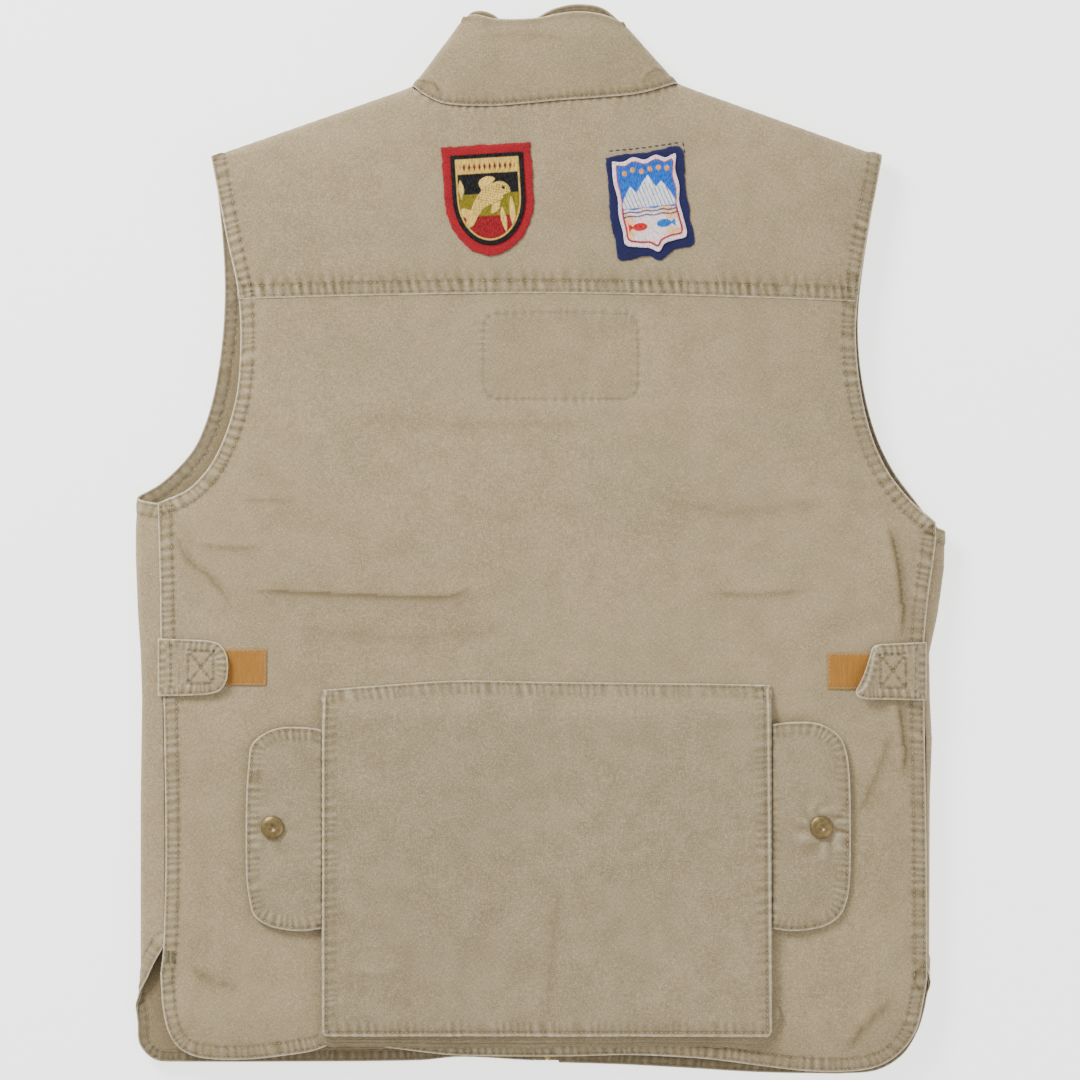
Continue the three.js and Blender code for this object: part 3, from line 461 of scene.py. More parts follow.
def creased(q, lines):
    lift = np.zeros(len(q))
    for line, height, width, skew in lines:
        far, along = line.near(q, 4 * width)
        end = tapered(line, along, 18)
        above = q[:, 1] > np.interp(along, line.s, line.p[:, 1])
        w = np.where(above, width * (1 - skew), width * (1 + skew))
        lift += height * end * np.exp(-((far / w) ** 2))
    return lift


def back_height(q):
    """Height of the back cloth's outer face."""
    x, y = q.T
    soft = 0.8 * noise(x, y, 95, 11) + 0.4 * noise(x, y, 41, 12) + 0.14 * noise(x, y, 17, 13)
    return Z_BACK - BACK_DROP * drop(q) + soft + creased(q, CREASE_LINES)


def front_height(q):
    """Height of the front cloth's outer face, which looks down."""
    x, y = q.T
    away = smoothstep(12, 70, np.abs(x))  # the zip holds the middle straight
    return Z_FRONT + away * (0.7 * noise(x, y, 80, 21) + 0.3 * noise(x, y, 33, 22) - FRONT_DROP * drop(q))


def flat_on(height, above=0.0):
    """Places cloth face up at a height."""
    def place(q):
        z = height(q) + above
        return np.column_stack([q, z]), facing(q)
    return place


def face_down(height, below=0.0):
    def place(q):
        z = height(q) - below
        return np.column_stack([q, z]), facing(q, -1.0)
    return place


def roll(past, radius):
    """Cloth that rolls over an edge: past is how far along the cloth a point lies beyond the edge.
    Gives its place outward from the edge, its share of the way down, and its face's direction."""
    turn = np.clip((past + radius) / radius, 0, math.pi)
    out = np.where(turn < math.pi, -radius + radius * np.sin(turn),
                   -radius - (past + radius - math.pi * radius))
    out = np.where(past < -radius, past, out)
    return out, (1 - np.cos(turn)) / 2, np.sin(turn), np.cos(turn)


def turned_down(past, radius):
    """Cloth that turns a corner of 90 degrees: how far out and how far down a point then lies,
    whether it has turned, and by how much."""
    turn = np.clip((past + radius) / radius, 0, math.pi / 2)
    rolled = past > -radius
    out = np.where(rolled, radius * (np.sin(turn) - 1), past)
    straight = np.maximum(past + radius - radius * math.pi / 2, 0)
    return out, np.where(rolled, radius * (1 - np.cos(turn)) + straight, 0), rolled, turn


# ---------------------------------------------------------------- seams, puckers and stitches

def ridges(along, across, seed, size=6.0):
    """Little ridges that run across a seam, from -1 to 1."""
    turns = along / size + 0.75 * noise(along, 0.15 * across, 2.2 * size, seed) + 0.02 * across
    strength = 0.6 + 0.4 * noise(along, 0.3 * across, 2.6 * size, seed + 90)
    return np.sin(math.tau * turns) * strength + 0.25 * noise(along, 0.3 * across, 0.4 * size, seed + 50)


def edge(points, rows=SEAM_ROWS, fold=FOLD_OF_HEM, pucker=0.5, seed=5, thick=0.7, wear=1.0, size=5.6):
    """A folded edge along the outline: thicker cloth, stitch rows, puckers and a worn rim. The stitch
    grooves and pucker troughs get painted shade, the whole band is a little darker, and the pucker ridges
    get painted highlight.
    """
    line = Line(points)

    def effect(q):
        far, along = line.near(q, 34)
        band = smoothstep(-0.5, 1.5, far) * (1 - smoothstep(fold, fold + 3.5, far))
        ridge = ridges(along, far, seed, size)
        lift = thick * (1 - smoothstep(fold - 0.6, fold + 1.2, far))
        lift += 0.8 * pucker * ridge * band
        lift += 0.5 * pucker * noise(along, far, 14, seed + 7) * np.exp(-far / 14) * (far < 33)
        marked = min(1.0, pucker / 0.4)
        # Painted shade in the pucker troughs, and the whole band a little darker.
        dark = 0.42 * marked * np.clip(-ridge, 0, 1) * band + 0.13 * band
        for row in rows:
            groove = np.exp(-(((far - row) / 0.75) ** 2))
            lift -= 0.4 * groove
            # Painted shade in each stitch row's groove.
            dark += 0.75 * groove * (0.8 + 0.2 * noise(along, far, 8, seed + 1))
        rim = np.exp(-((far / 0.95) ** 4))
        dark *= 1 - rim
        light = wear * rim * (0.85 + 0.15 * noise(along, far, 9, seed + 3))
        # Painted highlight on the pucker ridges.
        light += 0.42 * marked * np.clip(ridge - 0.1, 0, 1) * band * (far > 1)
        return lift, dark, light
    return effect


def dimple_line(points, depth=0.35, pucker=0.28, seed=9, dark=0.25, light=0.0, reach=9.0, size=6.0,
                wide=1.0):
    """A single row of stitching across a cloth, with painted shade in its groove and pucker troughs and
    painted highlight on the pucker ridges; light pales a narrow band along it.
    """
    line = Line(points)

    def effect(q):
        far, along = line.near(q, reach + 2)
        band = np.exp(-((far / (0.45 * reach)) ** 2)) * (far < reach)
        ridge = ridges(along, far, seed, size)
        lift = pucker * ridge * band - depth * np.exp(-((far / 1.0) ** 2))
        # Painted shade in the groove and the pucker troughs; the pucker ridges are paled as painted
        # highlight.
        shade = 2.2 * dark * np.exp(-((far / 0.8) ** 2)) + dark * np.clip(-ridge, 0, 1) * band
        return lift, shade, light * np.exp(-((far / wide) ** 2)) + dark * np.clip(ridge, 0, 1) * band
    return effect


def pressed(x, depth, reach):
    """Cloth worn down beside a hinge line that runs at x, so that it can fold back on itself."""
    return lambda q: (-depth * np.exp(-(((q[:, 0] - x) / reach) ** 2)), 0, 0)


def radiating(centre, strength, reach=26.0, count=7):
    """Puckers that run out from a snap, with painted shade in their troughs and painted highlight on their
    ridges.
    """
    def effect(q):
        d = q - np.array(centre, float)
        far = np.hypot(*d.T)
        ridge = np.sin(count * np.arctan2(d[:, 1], d[:, 0]) + 3.4 * noise(*q.T, 13, 191))
        band = strength * smoothstep(8.2, 11, far) * (1 - smoothstep(0.4 * reach, reach, far))
        band = band * (0.6 + 0.6 * noise(*q.T, 15, 192))
        return 0.6 * ridge * band, 0.8 * np.clip(-ridge, 0, 1) * band, 0.7 * np.clip(ridge, 0, 1) * band
    return effect


def shade(points, reach, amount, seed=3):
    """Painted shade: darkens the cloth near a line, as beside an edge that shades it."""
    line = Line(points)

    def effect(q):
        far, along = line.near(q, reach)
        return np.zeros(len(q)), amount * (1 - far / reach) ** 2 * (0.8 + 0.3 * noise(along, far, 15,
                seed)), 0
    return effect


def crease_shade(lines, amount=0.5):
    """Painted shade beside each crease, heavier on its lower side."""
    def effect(q):
        dark = np.zeros(len(q))
        for line, height, width, _ in lines:
            far, along = line.near(q, 4 * width)
            end = tapered(line, along, 25)
            below = q[:, 1] < np.interp(along, line.s, line.p[:, 1])
            close = np.exp(-((far / (0.55 * width)) ** 2))
            dark += amount * min(height, 2.0) * end * close * np.where(below, 1, 0.45)
        return np.zeros(len(q)), dark, np.zeros(len(q))
    return effect


class Threads:
    """Collects stitches, each a short rounded thread that dips into the cloth at its ends."""

    def __init__(self):
        self.points, self.faces, self.count = [], [], 0

    def row(self, cloth, run, pitch=STITCH_PITCH, length=STITCH_LENGTH, thick=0.5, seed=1, lift=0.0):
        line = Line(run, 1.0)
        if line.s[-1] < pitch:
            return
        start = np.arange(0.4, line.s[-1] - length, pitch)
        start = start + np.random.default_rng(seed).uniform(-0.15, 0.15, len(start))
        at = [np.stack([np.interp(start + k * length, line.s, line.p[:, i]) for i in (0, 1)], axis=1)
              for k in (0, 0.5, 1)]
        (a, n, _, _), (m, _, _, _), (b, _, _, _) = (cloth.at(q) for q in at)
        along = b - a
        along /= np.maximum(np.linalg.norm(along, axis=1, keepdims=True), 1e-9)
        side = np.cross(n, along)
        side /= np.maximum(np.linalg.norm(side, axis=1, keepdims=True), 1e-9)
        up = np.cross(along, side)
        rings = []
        for t, rise, wide in ((0, -0.16, 0.4), (0.18, 0.10, 0.95), (0.5, 0.2, 1.0), (0.82, 0.10, 0.95),
                (1, -0.16, 0.4)):
            curve = a * (1 - t) * (1 - 2 * t) + m * 4 * t * (1 - t) + b * t * (2 * t - 1)
            centre = curve + up * (rise + lift)
            for k in range(6):
                turn = math.tau * k / 6
                rings.append(centre + 0.5 * thick * wide * (side * math.cos(turn) + up * math.sin(turn)))
        points = np.stack(rings, axis=1).reshape(-1, 3)
        first = self.count + 30 * np.arange(len(start))[:, None]
        quads = [[6 * r + k, 6 * r + (k + 1) % 6, 6 * r + 6 + (k + 1) % 6, 6 * r + 6 + k]
                 for r in range(4) for k in range(6)]
        caps = [[5, 4, 3, 2], [5, 2, 1, 0], [24, 25, 26, 27], [24, 27, 28, 29]]
        for face in quads + caps:
            self.faces.append(first + np.array(face))
        self.points.append(points)
        self.count += len(points)

    def make(self, name, material, body, slot="shell_cloth"):
        faces = np.vstack(self.faces)
        return piece(name, np.vstack(self.points), faces.tolist(), material, body)


def piece(name, points, faces, material, body, marks=None, flat=False):
    """A mesh in the frame, riding on a body."""
    mesh = bpy.data.meshes.new(name)
    mesh.from_pydata((np.asarray(points) * MM).tolist(), [], faces)
    mesh.validate()
    if not flat:
        mesh.shade_smooth()
    for key, values in (marks or {}).items():
        mesh.attributes.new(key, "FLOAT", "POINT").data.foreach_set("value", np.asarray(values, np.float32))
    mesh.materials.append(material)
    obj = bpy.data.objects.new(name, mesh)
    bpy.context.scene.collection.objects.link(obj)
    if body:
        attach(obj, body)
    return obj


class Cloth:
    """A cut of cloth. Its outline, seams and stitches are in the flat cut; place puts it in space."""

    def __init__(self, outline, place, seams=(), thick=1.2, fine=1.6, spacing=3.6, band=14.0, lines=(),
                 rim=1.2,
                 rows=(), butt=None):
        self.place, self.seams, self.thick, self.rim, self.butt = place, seams, thick, rim, butt
        fine, spacing = fine * COARSE, spacing * COARSE
        self.outline = spaced(outline, fine, closed=True)
        self.border = Line(self.outline, fine, closed=True)
        lines = [line if isinstance(line, Line) else Line(line) for line in lines]
        low, high = self.outline.min(0), self.outline.max(0)
        points = [self.outline]
        rings = [0.35, 0.95] + [row + side for row in rows for side in (-0.7, 0.0, 0.7)]
        for step in rings:
            ring = self.outline + step * self.inward()
            far = self.border.near(ring, step + 3)[0]
            points.append(ring[far > 0.9 * step])
        for step, close in ((fine, True), (spacing, False)):
            xs, ys = np.arange(low[0], high[0], step), np.arange(low[1], high[1], step * 0.866)
            x, y = np.meshgrid(xs, ys)
            x[1::2] += step / 2
            q = np.column_stack([x.ravel(), y.ravel()])
            far = self.border.near(q, band + 2)[0]
            free = far > 1.6 * COARSE
            for row in rows:
                free &= np.abs(far - row) > 1.3
            q, far = q[free], far[free]
            nearest = far.copy()
            for line in lines:
                nearest = np.minimum(nearest, line.near(q, band + 2)[0])
            q = q[nearest < band] if close else q[nearest >= band]
            points.append(q[inside(q, self.outline)])
        q = np.vstack(points)
        loop = list(range(len(self.outline)))
        got = delaunay_2d_cdt([Vector(p) for p in q.tolist()], [], [loop], 1, 1e-5)
        self.q = np.array([tuple(v) for v in got[0]])
        self.tris = np.array(got[2], int)

    def inward(self):
        ahead, behind = np.roll(self.outline, -1, axis=0), np.roll(self.outline, 1, axis=0)
        d = ahead - behind
        d /= np.maximum(np.linalg.norm(d, axis=1, keepdims=True), 1e-9)
        x, y = self.outline.T
        turn = np.sign((x * np.roll(y, -1) - np.roll(x, -1) * y).sum())
        return turn * np.stack([-d[:, 1], d[:, 0]], axis=1)

    def at(self, q):
        """Outer face, its direction, and how dark (painted shade and darker tones) and how light (worn rims
        and painted highlight) the cloth is, at points of the cut.
        """
        p, n = self.place(q)
        lift, dark, light = np.zeros(len(q)), np.zeros(len(q)), np.zeros(len(q))
        for seam in self.seams:
            a, b, c = seam(q)
            lift, dark, light = lift + a, dark + b, light + c
        return p + n * lift[:, None], n, np.clip(dark, 0, 1), np.clip(light, 0, 1)

    def make(self, name, material, body, nodes=(), slot="shell_cloth", sheet="laid", inner=0.0):
        """The cloth's mesh. inner is how much darker its hidden side is."""
        p, n, dark, light = self.at(self.q)
        far = self.border.near(self.q, 3)[0]
        near = np.clip(1 - far / self.rim, 0, 1)
        if self.butt is not None:
            near = near * smoothstep(0.2, 1.2, Line(self.butt).near(self.q, 3)[0])
        curl = 0.5 * self.thick * (1 - np.sqrt(1 - near**2)) * 0.9
        outer, inside_face = p - n * curl[:, None], p - n * (self.thick - curl)[:, None]
        count = len(p)
        t = self.tris
        edges = np.vstack([t[:, [0, 1]], t[:, [1, 2]], t[:, [2, 0]]])
        key = np.sort(edges, axis=1)
        _, first, uses = np.unique(key, axis=0, return_index=True, return_counts=True)
        rim = edges[first[uses == 1]]
        faces = t.tolist() + (t[:, ::-1] + count).tolist()
        faces += np.column_stack([rim[:, 1], rim[:, 0], rim[:, 0] + count, rim[:, 1] + count]).tolist()
        marks = {"dark": np.concatenate([dark, np.maximum(dark * 0.3, inner)]),
                 "light": np.concatenate([light, 0.3 * light])}
        obj = piece(name, np.vstack([outer, inside_face]), faces, material, body, marks)
        if nodes:
            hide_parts(*nodes)
        a, b, c = (self.q[self.tris[:, k]] for k in range(3))
        d, e = b - a, c - a
        area = float(np.abs(d[:, 0] * e[:, 1] - d[:, 1] * e[:, 0]).sum() / 2) * MM * MM
        wide, long = ((self.q.max(0) - self.q.min(0)) * MM).tolist()
        if area < 0.32 * wide * long:  # a narrow strip that bends, so its box says little
            long = self.border.s[-1] * MM / 2
            wide = area / long
        return obj


vest_threads, dark_threads = Threads(), Threads()


# ---------------------------------------------------------------- back panel and yoke

hem_back = smooth([(-271, -304), (-269.5, -328), (-265, -346), (-257, -357.5), (-243, -363.5), (-215, -365),
        (-185, -362), (-164, -358.5), (-148, -353), (-120, -355), (-90, -359), (-61, -362), (16, -362.5),
        (60, -361.5), (110, -364), (150, -369), (178, -372.5), (205, -373.5), (230, -370.5), (247, -361),
        (259, -345), (264, -326), (267, -308)])
seam_left, seam_right = smooth(SEAM_LEFT), smooth(SEAM_RIGHT)
armhole_back_left = smooth(BACK_ARMHOLE_LEFT)
armhole_back_right = smooth([(x - 0.5, y) for x, y in ARMHOLE_RIGHT[:-1]])
yoke_seam = smooth(YOKE_SEAM)
side = armhole_back_left[:, 1] < 169.5
left_low, left_high = armhole_back_left[side], armhole_back_left[~side]
side = armhole_back_right[:, 1] < 168.3
right_low, right_high = armhole_back_right[side], armhole_back_right[~side]

LABEL = joined(*[smooth(run) for run in (
    [(-35, 159), (10, 159.5), (54, 159)], [(54, 159), (61, 156), (63.7, 149)],
    [(63.7, 149), (64, 128), (63.7, 108)],
    [(63.7, 108), (61, 101.5), (54, 98.7)], [(54, 98.7), (10, 98.3), (-35, 98.7)],
    [(-35, 98.7), (-42, 101.5), (-44.8, 108)], [(-44.8, 108), (-45, 128), (-44.8, 149)],
    [(-44.8, 149), (-42, 156), (-35, 159)])])

back_outline = joined(yoke_seam + [0, 5], right_low, seam_right, hem_back[::-1], seam_left[::-1],
    left_low[::-1])
back = Cloth(
    back_outline, flat_on(back_height), [
        edge(left_low, seed=31, pucker=0.5), edge(right_low, seed=32, pucker=0.5),
        edge(seam_left, seed=33, pucker=0.45, thick=0.9),
        edge(seam_right, seed=34, pucker=0.45, thick=0.9),
        edge(hem_back, seed=35, fold=8.6, pucker=0.42),
        dimple_line(LABEL, depth=0.4, pucker=0.3, seed=36, dark=0.26, light=0.1, reach=8),
        shade(yoke_seam, 16, 0.14, 37), crease_shade(CREASE_LINES),
        lambda q: (np.zeros(len(q)), 0.10 * inside(q, LABEL), 0),
    ], lines=[LABEL, *[line for line, _, _, _ in CREASE_LINES[:8]]], rows=SEAM_ROWS)
back.make("back_cloth", SHELL, "vest", ["back_panel"], inner=0.45)
for run, seed in ((left_low, 41), (right_low, 42), (seam_left, 43), (seam_right, 44)):
    way = 1 if run is left_low or run is seam_left else -1
    for distance, more in zip(SEAM_ROWS, (0, 5)):
        vest_threads.row(back, inset(run, way * distance), seed=seed + more)
for distance, seed in zip(SEAM_ROWS, (45, 46)):
    vest_threads.row(back, inset(hem_back, distance), seed=seed)
vest_threads.row(back, LABEL, seed=47, pitch=2.9, length=2.1, thick=0.4)

neck_seam = smooth([(-94.5, 319), (-85, 312), (-71, 306.5), (-40, 305), (-12, 307), (9, 309), (37, 311),
                    (65, 314), (91.7, 322)])
SHOULDERS = straight_fold((236, 269.5), (92, 321)), straight_fold((-94.5, 319), (-236, 269.5))
SHOULDER_ROLL = 5.0


def yoke_place(q):
    """The yoke rolls over each shoulder and comes back under it."""
    p = np.column_stack([q, back_height(q)])
    n = facing(q)
    for a, along, outward in SHOULDERS:
        past = (q - a) @ outward
        rolled = past > -SHOULDER_ROLL
        out, share, nx, nz = roll(past[rolled], SHOULDER_ROLL)
        flat = q[rolled] + outward * (out - past[rolled])[:, None]
        top, under = back_height(flat), front_height(flat) - 1.5
        p[rolled] = np.column_stack([flat, top * (1 - share) + under * share])
        n[rolled] = np.column_stack([nx[:, None] * outward, nz])
    return p, n


def unfolded(points, shoulder, radius):
    """Where points that lie under a fold are in the flat cut."""
    a, along, outward = shoulder
    q = np.asarray(points, float)
    depth = -(q - a) @ outward
    return q + outward * (depth + (math.pi - 2) * radius + depth)[:, None]


def yoke_band(q):
    """Above the yoke's edge the cloth has faded less, in streaks that run up from the stitches."""
    far, along = Line(yoke_seam).near(q, 34)
    streak = np.clip(0.45 + 0.75 * ridges(along, far, 51, 8.0), 0, 1)
    band = smoothstep(2, 8, far) * (1 - smoothstep(9, 24, far))
    return 0.16 * streak * band, 0.5 * streak * band, np.zeros(len(q))


right_cap = unfolded(spaced([(235.5, 269), (229, 232), (112, 270), (88, 296), (90, 314)], 3), SHOULDERS[0],
    SHOULDER_ROLL)
left_cap = unfolded(spaced([(-92, 313), (-90, 294), (-114, 268), (-229, 232), (-235.5, 269)], 3),
                    SHOULDERS[1], SHOULDER_ROLL)
yoke_outline = joined(
    yoke_seam[::-1], left_high[::-1], left_cap[::-1], neck_seam, right_cap[::-1], right_high)
yoke = Cloth(
    yoke_outline, yoke_place, [
        edge(yoke_seam, seed=51, fold=8.4, pucker=0.5, thick=0.9, wear=0.9, size=6.4),
        yoke_band,
        edge(left_high, seed=52, pucker=0.5), edge(right_high, seed=53, pucker=0.5),
        edge(left_cap, seed=60, pucker=0.35), edge(right_cap, seed=61, pucker=0.35),
        dimple_line(neck_seam, depth=0.6, pucker=0.35, seed=54, dark=0.5, reach=10),
    ], thick=1.2, rows=SEAM_ROWS)
yoke.make("yoke_cloth", SHELL_TURNED, "vest", ["yoke"], inner=0.3)
for distance, seed in zip(SEAM_ROWS, (55, 56)):
    vest_threads.row(yoke, inset(yoke_seam, distance), seed=seed)
for run, way, seed in ((left_high, 1, 57), (right_high, -1, 58), (left_cap, 1, 62), (right_cap, 1, 63)):
    for distance in SEAM_ROWS:
        vest_threads.row(yoke, inset(run, way * distance), seed=seed + int(distance))

# ---------------------------------------------------------------- fronts, which wrap round the sides

FOLD = 4.5  # radius of the fold at each side
FRONTS = {
    "right": dict(
        sign=1,
        fold=[(290, 282), (282, 272), (272, 255), (4, 280), (-20, 279.5), (-52, 275), (-80, 269),
              (-112, 269.5), (-140, 271), (-182, 269.5), (-308, 269), (-320, 273), (-334, 283)],
        armhole=[(236, 268), (229, 232), (221, 180), (219, 147), (222, 112), (230.5, 77), (243, 50),
                 (259, 28), (272, 12), (280, 6), (288, 8), (299, 13)],
        seam=[(299, 13), (298, -20), (290, -52), (279, -80), (280, -112), (281, -140), (278, -182),
              (277, -300)],
        vent=[(277, -300), (272, -310), (268, -320), (266, -330), (261, -346), (250, -363), (232, -373.5),
              (205, -376)],
        hem=[(205, -376), (149, -374.8), (93, -371.5), (37, -368.5), (8.3, -367.5)]),
    "left": dict(
        sign=-1,
        fold=[(30, 288), (10, 289.5), (-10, 289.5), (-50, 288), (-80, 286), (-112, 285), (-182, 286),
              (-308, 286), (-322, 287.5), (-336, 294), (-345, 302)],
        armhole=[(236, 268), (232, 245), (228, 205), (227, 168), (230, 130), (236, 97), (245.5, 70),
                 (256, 55), (272, 40), (286, 32), (296, 28), (314, 25)],
        seam=[(314, 25), (315, -10), (312, -50), (307, -80), (306, -112), (309, -182), (309, -284)],
        vent=[(309, -284), (300, -300), (292, -320), (288.5, -338), (287, -355), (276, -366),
              (257, -367.5)],
        hem=[(257, -367.5), (200, -367.5), (90, -366.5), (61, -364), (8.3, -366)]),
}
NECKLINE = [(8.3, 252), (22, 253.5), (50, 264), (76, 290), (90, 316)]


def front_place(sign, fold, inside=0.0):
    """Front cloth, face down, that rolls up round the side. inside is how far in from its face."""
    levels, across = np.array(sorted(fold), float).T

    def place(q):
        q = np.asarray(q, float)
        edge_x = np.interp(q[:, 1], levels, across)
        out, share, nx, nz = roll(q[:, 0] - edge_x, FOLD)
        flat = np.column_stack([sign * (edge_x + out), q[:, 1]])
        z = front_height(flat) * (1 - share) + (back_height(flat) - 1.3) * share
        n = np.column_stack([sign * nx, 0 * nx, -nz])
        p = np.column_stack([flat, z]) - n * inside
        return p, (-n if inside else n)
    return place


for name, f in FRONTS.items():
    armhole, vent, hem = smooth(f["armhole"]), smooth(f["vent"]), smooth(f["hem"])
    seam = smooth(f["seam"])
    outline = joined([(90, 316), (233, 266), (236, 268)], armhole, seam, vent, hem,
                     [(8.3, -366), (0.3, -366), (0.3, -361), (5.6, -361), (8.3, -358), (8.3, 252)],
                     smooth(NECKLINE))
    rim = joined(vent, hem)
    seams = [
        edge(armhole, seed=71, pucker=0.45), edge(rim, seed=72, pucker=0.4, fold=8.6),
        dimple_line([(15, 250), (15, -366)], seed=73, light=0.2),
        dimple_line([(18, 250), (18, -366)], seed=74),
    ]
    fold_line = Line([(x, y) for y, x in sorted(f["fold"]) if y < 60])
    front = Cloth(outline, front_place(f["sign"], f["fold"]), seams, spacing=4.2, lines=[fold_line],
                  rows=SEAM_ROWS)
    front.make(f"front_cloth_{name}", SHELL, "vest", [f"front_{name}"], sheet="folded", inner=0.45)
    for run, seed in ((armhole, 76), (rim, 77)):
        for distance in SEAM_ROWS:
            vest_threads.row(front, inset(run, -distance), seed=seed)
    for x in (15, 18):
        vest_threads.row(front, [(x, 246), (x, -362)], seed=79)

    inner_place = front_place(f["sign"], f["fold"], inside=1.25)
    for part, run, width, nodes in (("armhole", armhole, 10.5, f"armhole_facing_{name}"), ("hem", rim, 8.5,
                f"hem_facing_{name}")):
        strip = Cloth(joined(run, inset(run, -width)[::-1]), inner_place, [
            edge(run, seed=81, pucker=0.5, thick=0.3, fold=width - 1.5, rows=(1.8, width - 1.8)),
            shade(run, width + 4, 0.3, 82)], thick=0.7, band=3, fine=1.8, rows=(1.8,))
        strip.make(f"{part}_facing_front_{name}", LINING, "vest", [nodes], slot="lining_cloth",
                   sheet="folded")
        dark_threads.row(strip, inset(run, -1.8), seed=83, thick=0.4)
        dark_threads.row(strip, inset(run, -(width - 1.8)), seed=84, thick=0.4)

    back_run = {"right": joined(right_low[::-1], right_high[::-1])[::-1],
                "left": joined(left_high, left_low)}[name]
    way = 1 if name == "left" else -1
    strip = Cloth(joined(back_run, inset(back_run, way * 10.5)[::-1]), face_down(back_height, 1.9),
                  [shade(back_run, 14, 0.3, 85)], thick=0.7, band=3, fine=2.4)
    strip.make(f"armhole_facing_back_{name}", LINING, "vest", [f"armhole_facing_{name}"],
               slot="lining_cloth")

strip = Cloth(joined(hem_back, inset(hem_back, 8.0)[::-1]), face_down(back_height, 1.9),
              [shade(hem_back, 12, 0.3, 86)], thick=0.7, band=3, fine=2.4)
strip.make("hem_facing_back_cloth", LINING, "vest", ["hem_facing_back"], slot="lining_cloth")
label = Cloth(LABEL, face_down(back_height, 1.9), [shade(LABEL, 8, 0.3, 87)], thick=0.7, fine=2.5)
label.make("label_cloth", LINING, "vest", ["inner_label"], slot="lining_cloth")

# ---------------------------------------------------------------- collar

COLLAR_SIDES = straight_fold((92, 321), (53, 364.5)), straight_fold((-58, 368), (-94.5, 319))
COLLAR_ROLL = 4.5
COLLAR_CREASES = [
    (Line(smooth([(-94, 323), (-88, 322.5), (-80, 321), (-76.5, 316), (-75, 311)])), 1.7, 2.4, 0.5),
    (Line(smooth([(66, 319), (69, 326), (75, 330), (86, 329.5)])), 1.5, 2.4, 0.5),
    (Line(smooth([(-55, 352), (-20, 356), (30, 350)])), 0.5, 8, 0.3),
]


def collar_place(inside=0.0):
    def place(q):
        q = np.asarray(q, float)
        lift = 1.2 + creased(q, COLLAR_CREASES) + 0.5 * noise(*q.T, 30, 91)
        p = np.column_stack([q, back_height(q) + lift - 1.0 * smoothstep(345, 368, q[:, 1])])
        n = facing(q)
        for a, along, outward in COLLAR_SIDES:
            past = (q - a) @ outward
            rolled = past > -COLLAR_ROLL
            out, share, nx, nz = roll(past[rolled], COLLAR_ROLL)
            flat = q[rolled] + outward * (out - past[rolled])[:, None]
            under = front_height(flat) - 1.6 + 2.2 * smoothstep(350, 375, flat[:, 1])
            p[rolled] = np.column_stack([flat, p[rolled, 2] * (1 - share) + under * share])
            n[rolled] = np.column_stack([nx[:, None] * outward, nz])
        p = p - n * inside
        return p, (-n if inside else n)
    return place


front_collar_right = [(92, 321), (78, 292), (52, 266), (24, 255), (1.6, 253), (1.6, 342), (-4, 352),
    (-10, 363.5), (-2, 370.5), (9, 375), (23, 377), (39, 374.5), (53, 364.5)]
front_collar_left = [(-58, 368), (-52, 372), (-44, 372.3), (-35, 368), (-20, 352), (-1.6, 336), (-1.6, 253),
    (-24, 255), (-52, 266), (-78, 292), (-94.5, 319)]
runs = []
for points, corner, side in ((front_collar_right, 4, COLLAR_SIDES[0]), (front_collar_left, 5,
            COLLAR_SIDES[1])):
    flat = np.vstack([smooth(points[:corner + 1]), smooth(points[corner:7])[1:], smooth(points[6:])[1:]])
    runs.append(unfolded(flat, side, COLLAR_ROLL))
collar_top = smooth([(53, 364.5), (38, 369.5), (23, 371.3), (9, 370), (-8, 366.8), (-33, 366.2),
        (-42, 367.4), (-50, 369.4), (-58, 368)])
collar_foot = smooth([(-94.5, 319), (-85, 311.5), (-71, 305.5), (-40, 304), (-12, 306), (9, 308), (37, 310),
        (65, 313), (92, 321)])
collar_outline = joined(collar_foot, runs[0], collar_top, runs[1])
collar_seams = [
    edge(collar_foot, seed=92, rows=(1.8,), fold=6.0, pucker=0.16, thick=0.7, wear=0.9),
    shade(collar_foot, 16, 0.28, 99), lambda q: (np.zeros(len(q)), 0.13, 0),
    edge(collar_top, seed=93, rows=(), fold=3.0, pucker=0.04, thick=0.4, wear=0.8),
    crease_shade(COLLAR_CREASES, 0.4),
    edge(runs[0][30:], seed=94, rows=(1.8, 5.6), fold=5.0, pucker=0.25, thick=0.4, wear=0.9),
    edge(runs[1][:-30], seed=95, rows=(1.8, 5.6), fold=5.0, pucker=0.25, thick=0.4, wear=0.9),
]
collar = Cloth(collar_outline, collar_place(), collar_seams, fine=1.5, spacing=2.8, rows=(1.8, 5.6))
collar.make("collar_cloth_outer", SHELL_TURNED, "vest", ["collar_outer"], sheet="folded", inner=0.2)
vest_threads.row(collar, inset(collar_foot, 1.8), seed=96)
lining_outline = inset(np.vstack([collar_outline, collar_outline[:1]]), 0.8)
collar_in = Cloth(lining_outline, collar_place(inside=1.6), [
    edge(runs[0][30:], seed=97, rows=(2.6, 5.6), fold=5.0, pucker=0.2, thick=0.4, wear=0.7),
    edge(runs[1][:-30], seed=98, rows=(2.6, 5.6), fold=5.0, pucker=0.2, thick=0.4, wear=0.7),
], thick=1.0, fine=1.8, spacing=3.2, rows=(1.8, 4.8))
collar_in.make("collar_cloth_inner", LINING, "vest", ["collar_inner"], slot="lining_cloth",
               sheet="folded")

# ---------------------------------------------------------------- pouch on the back

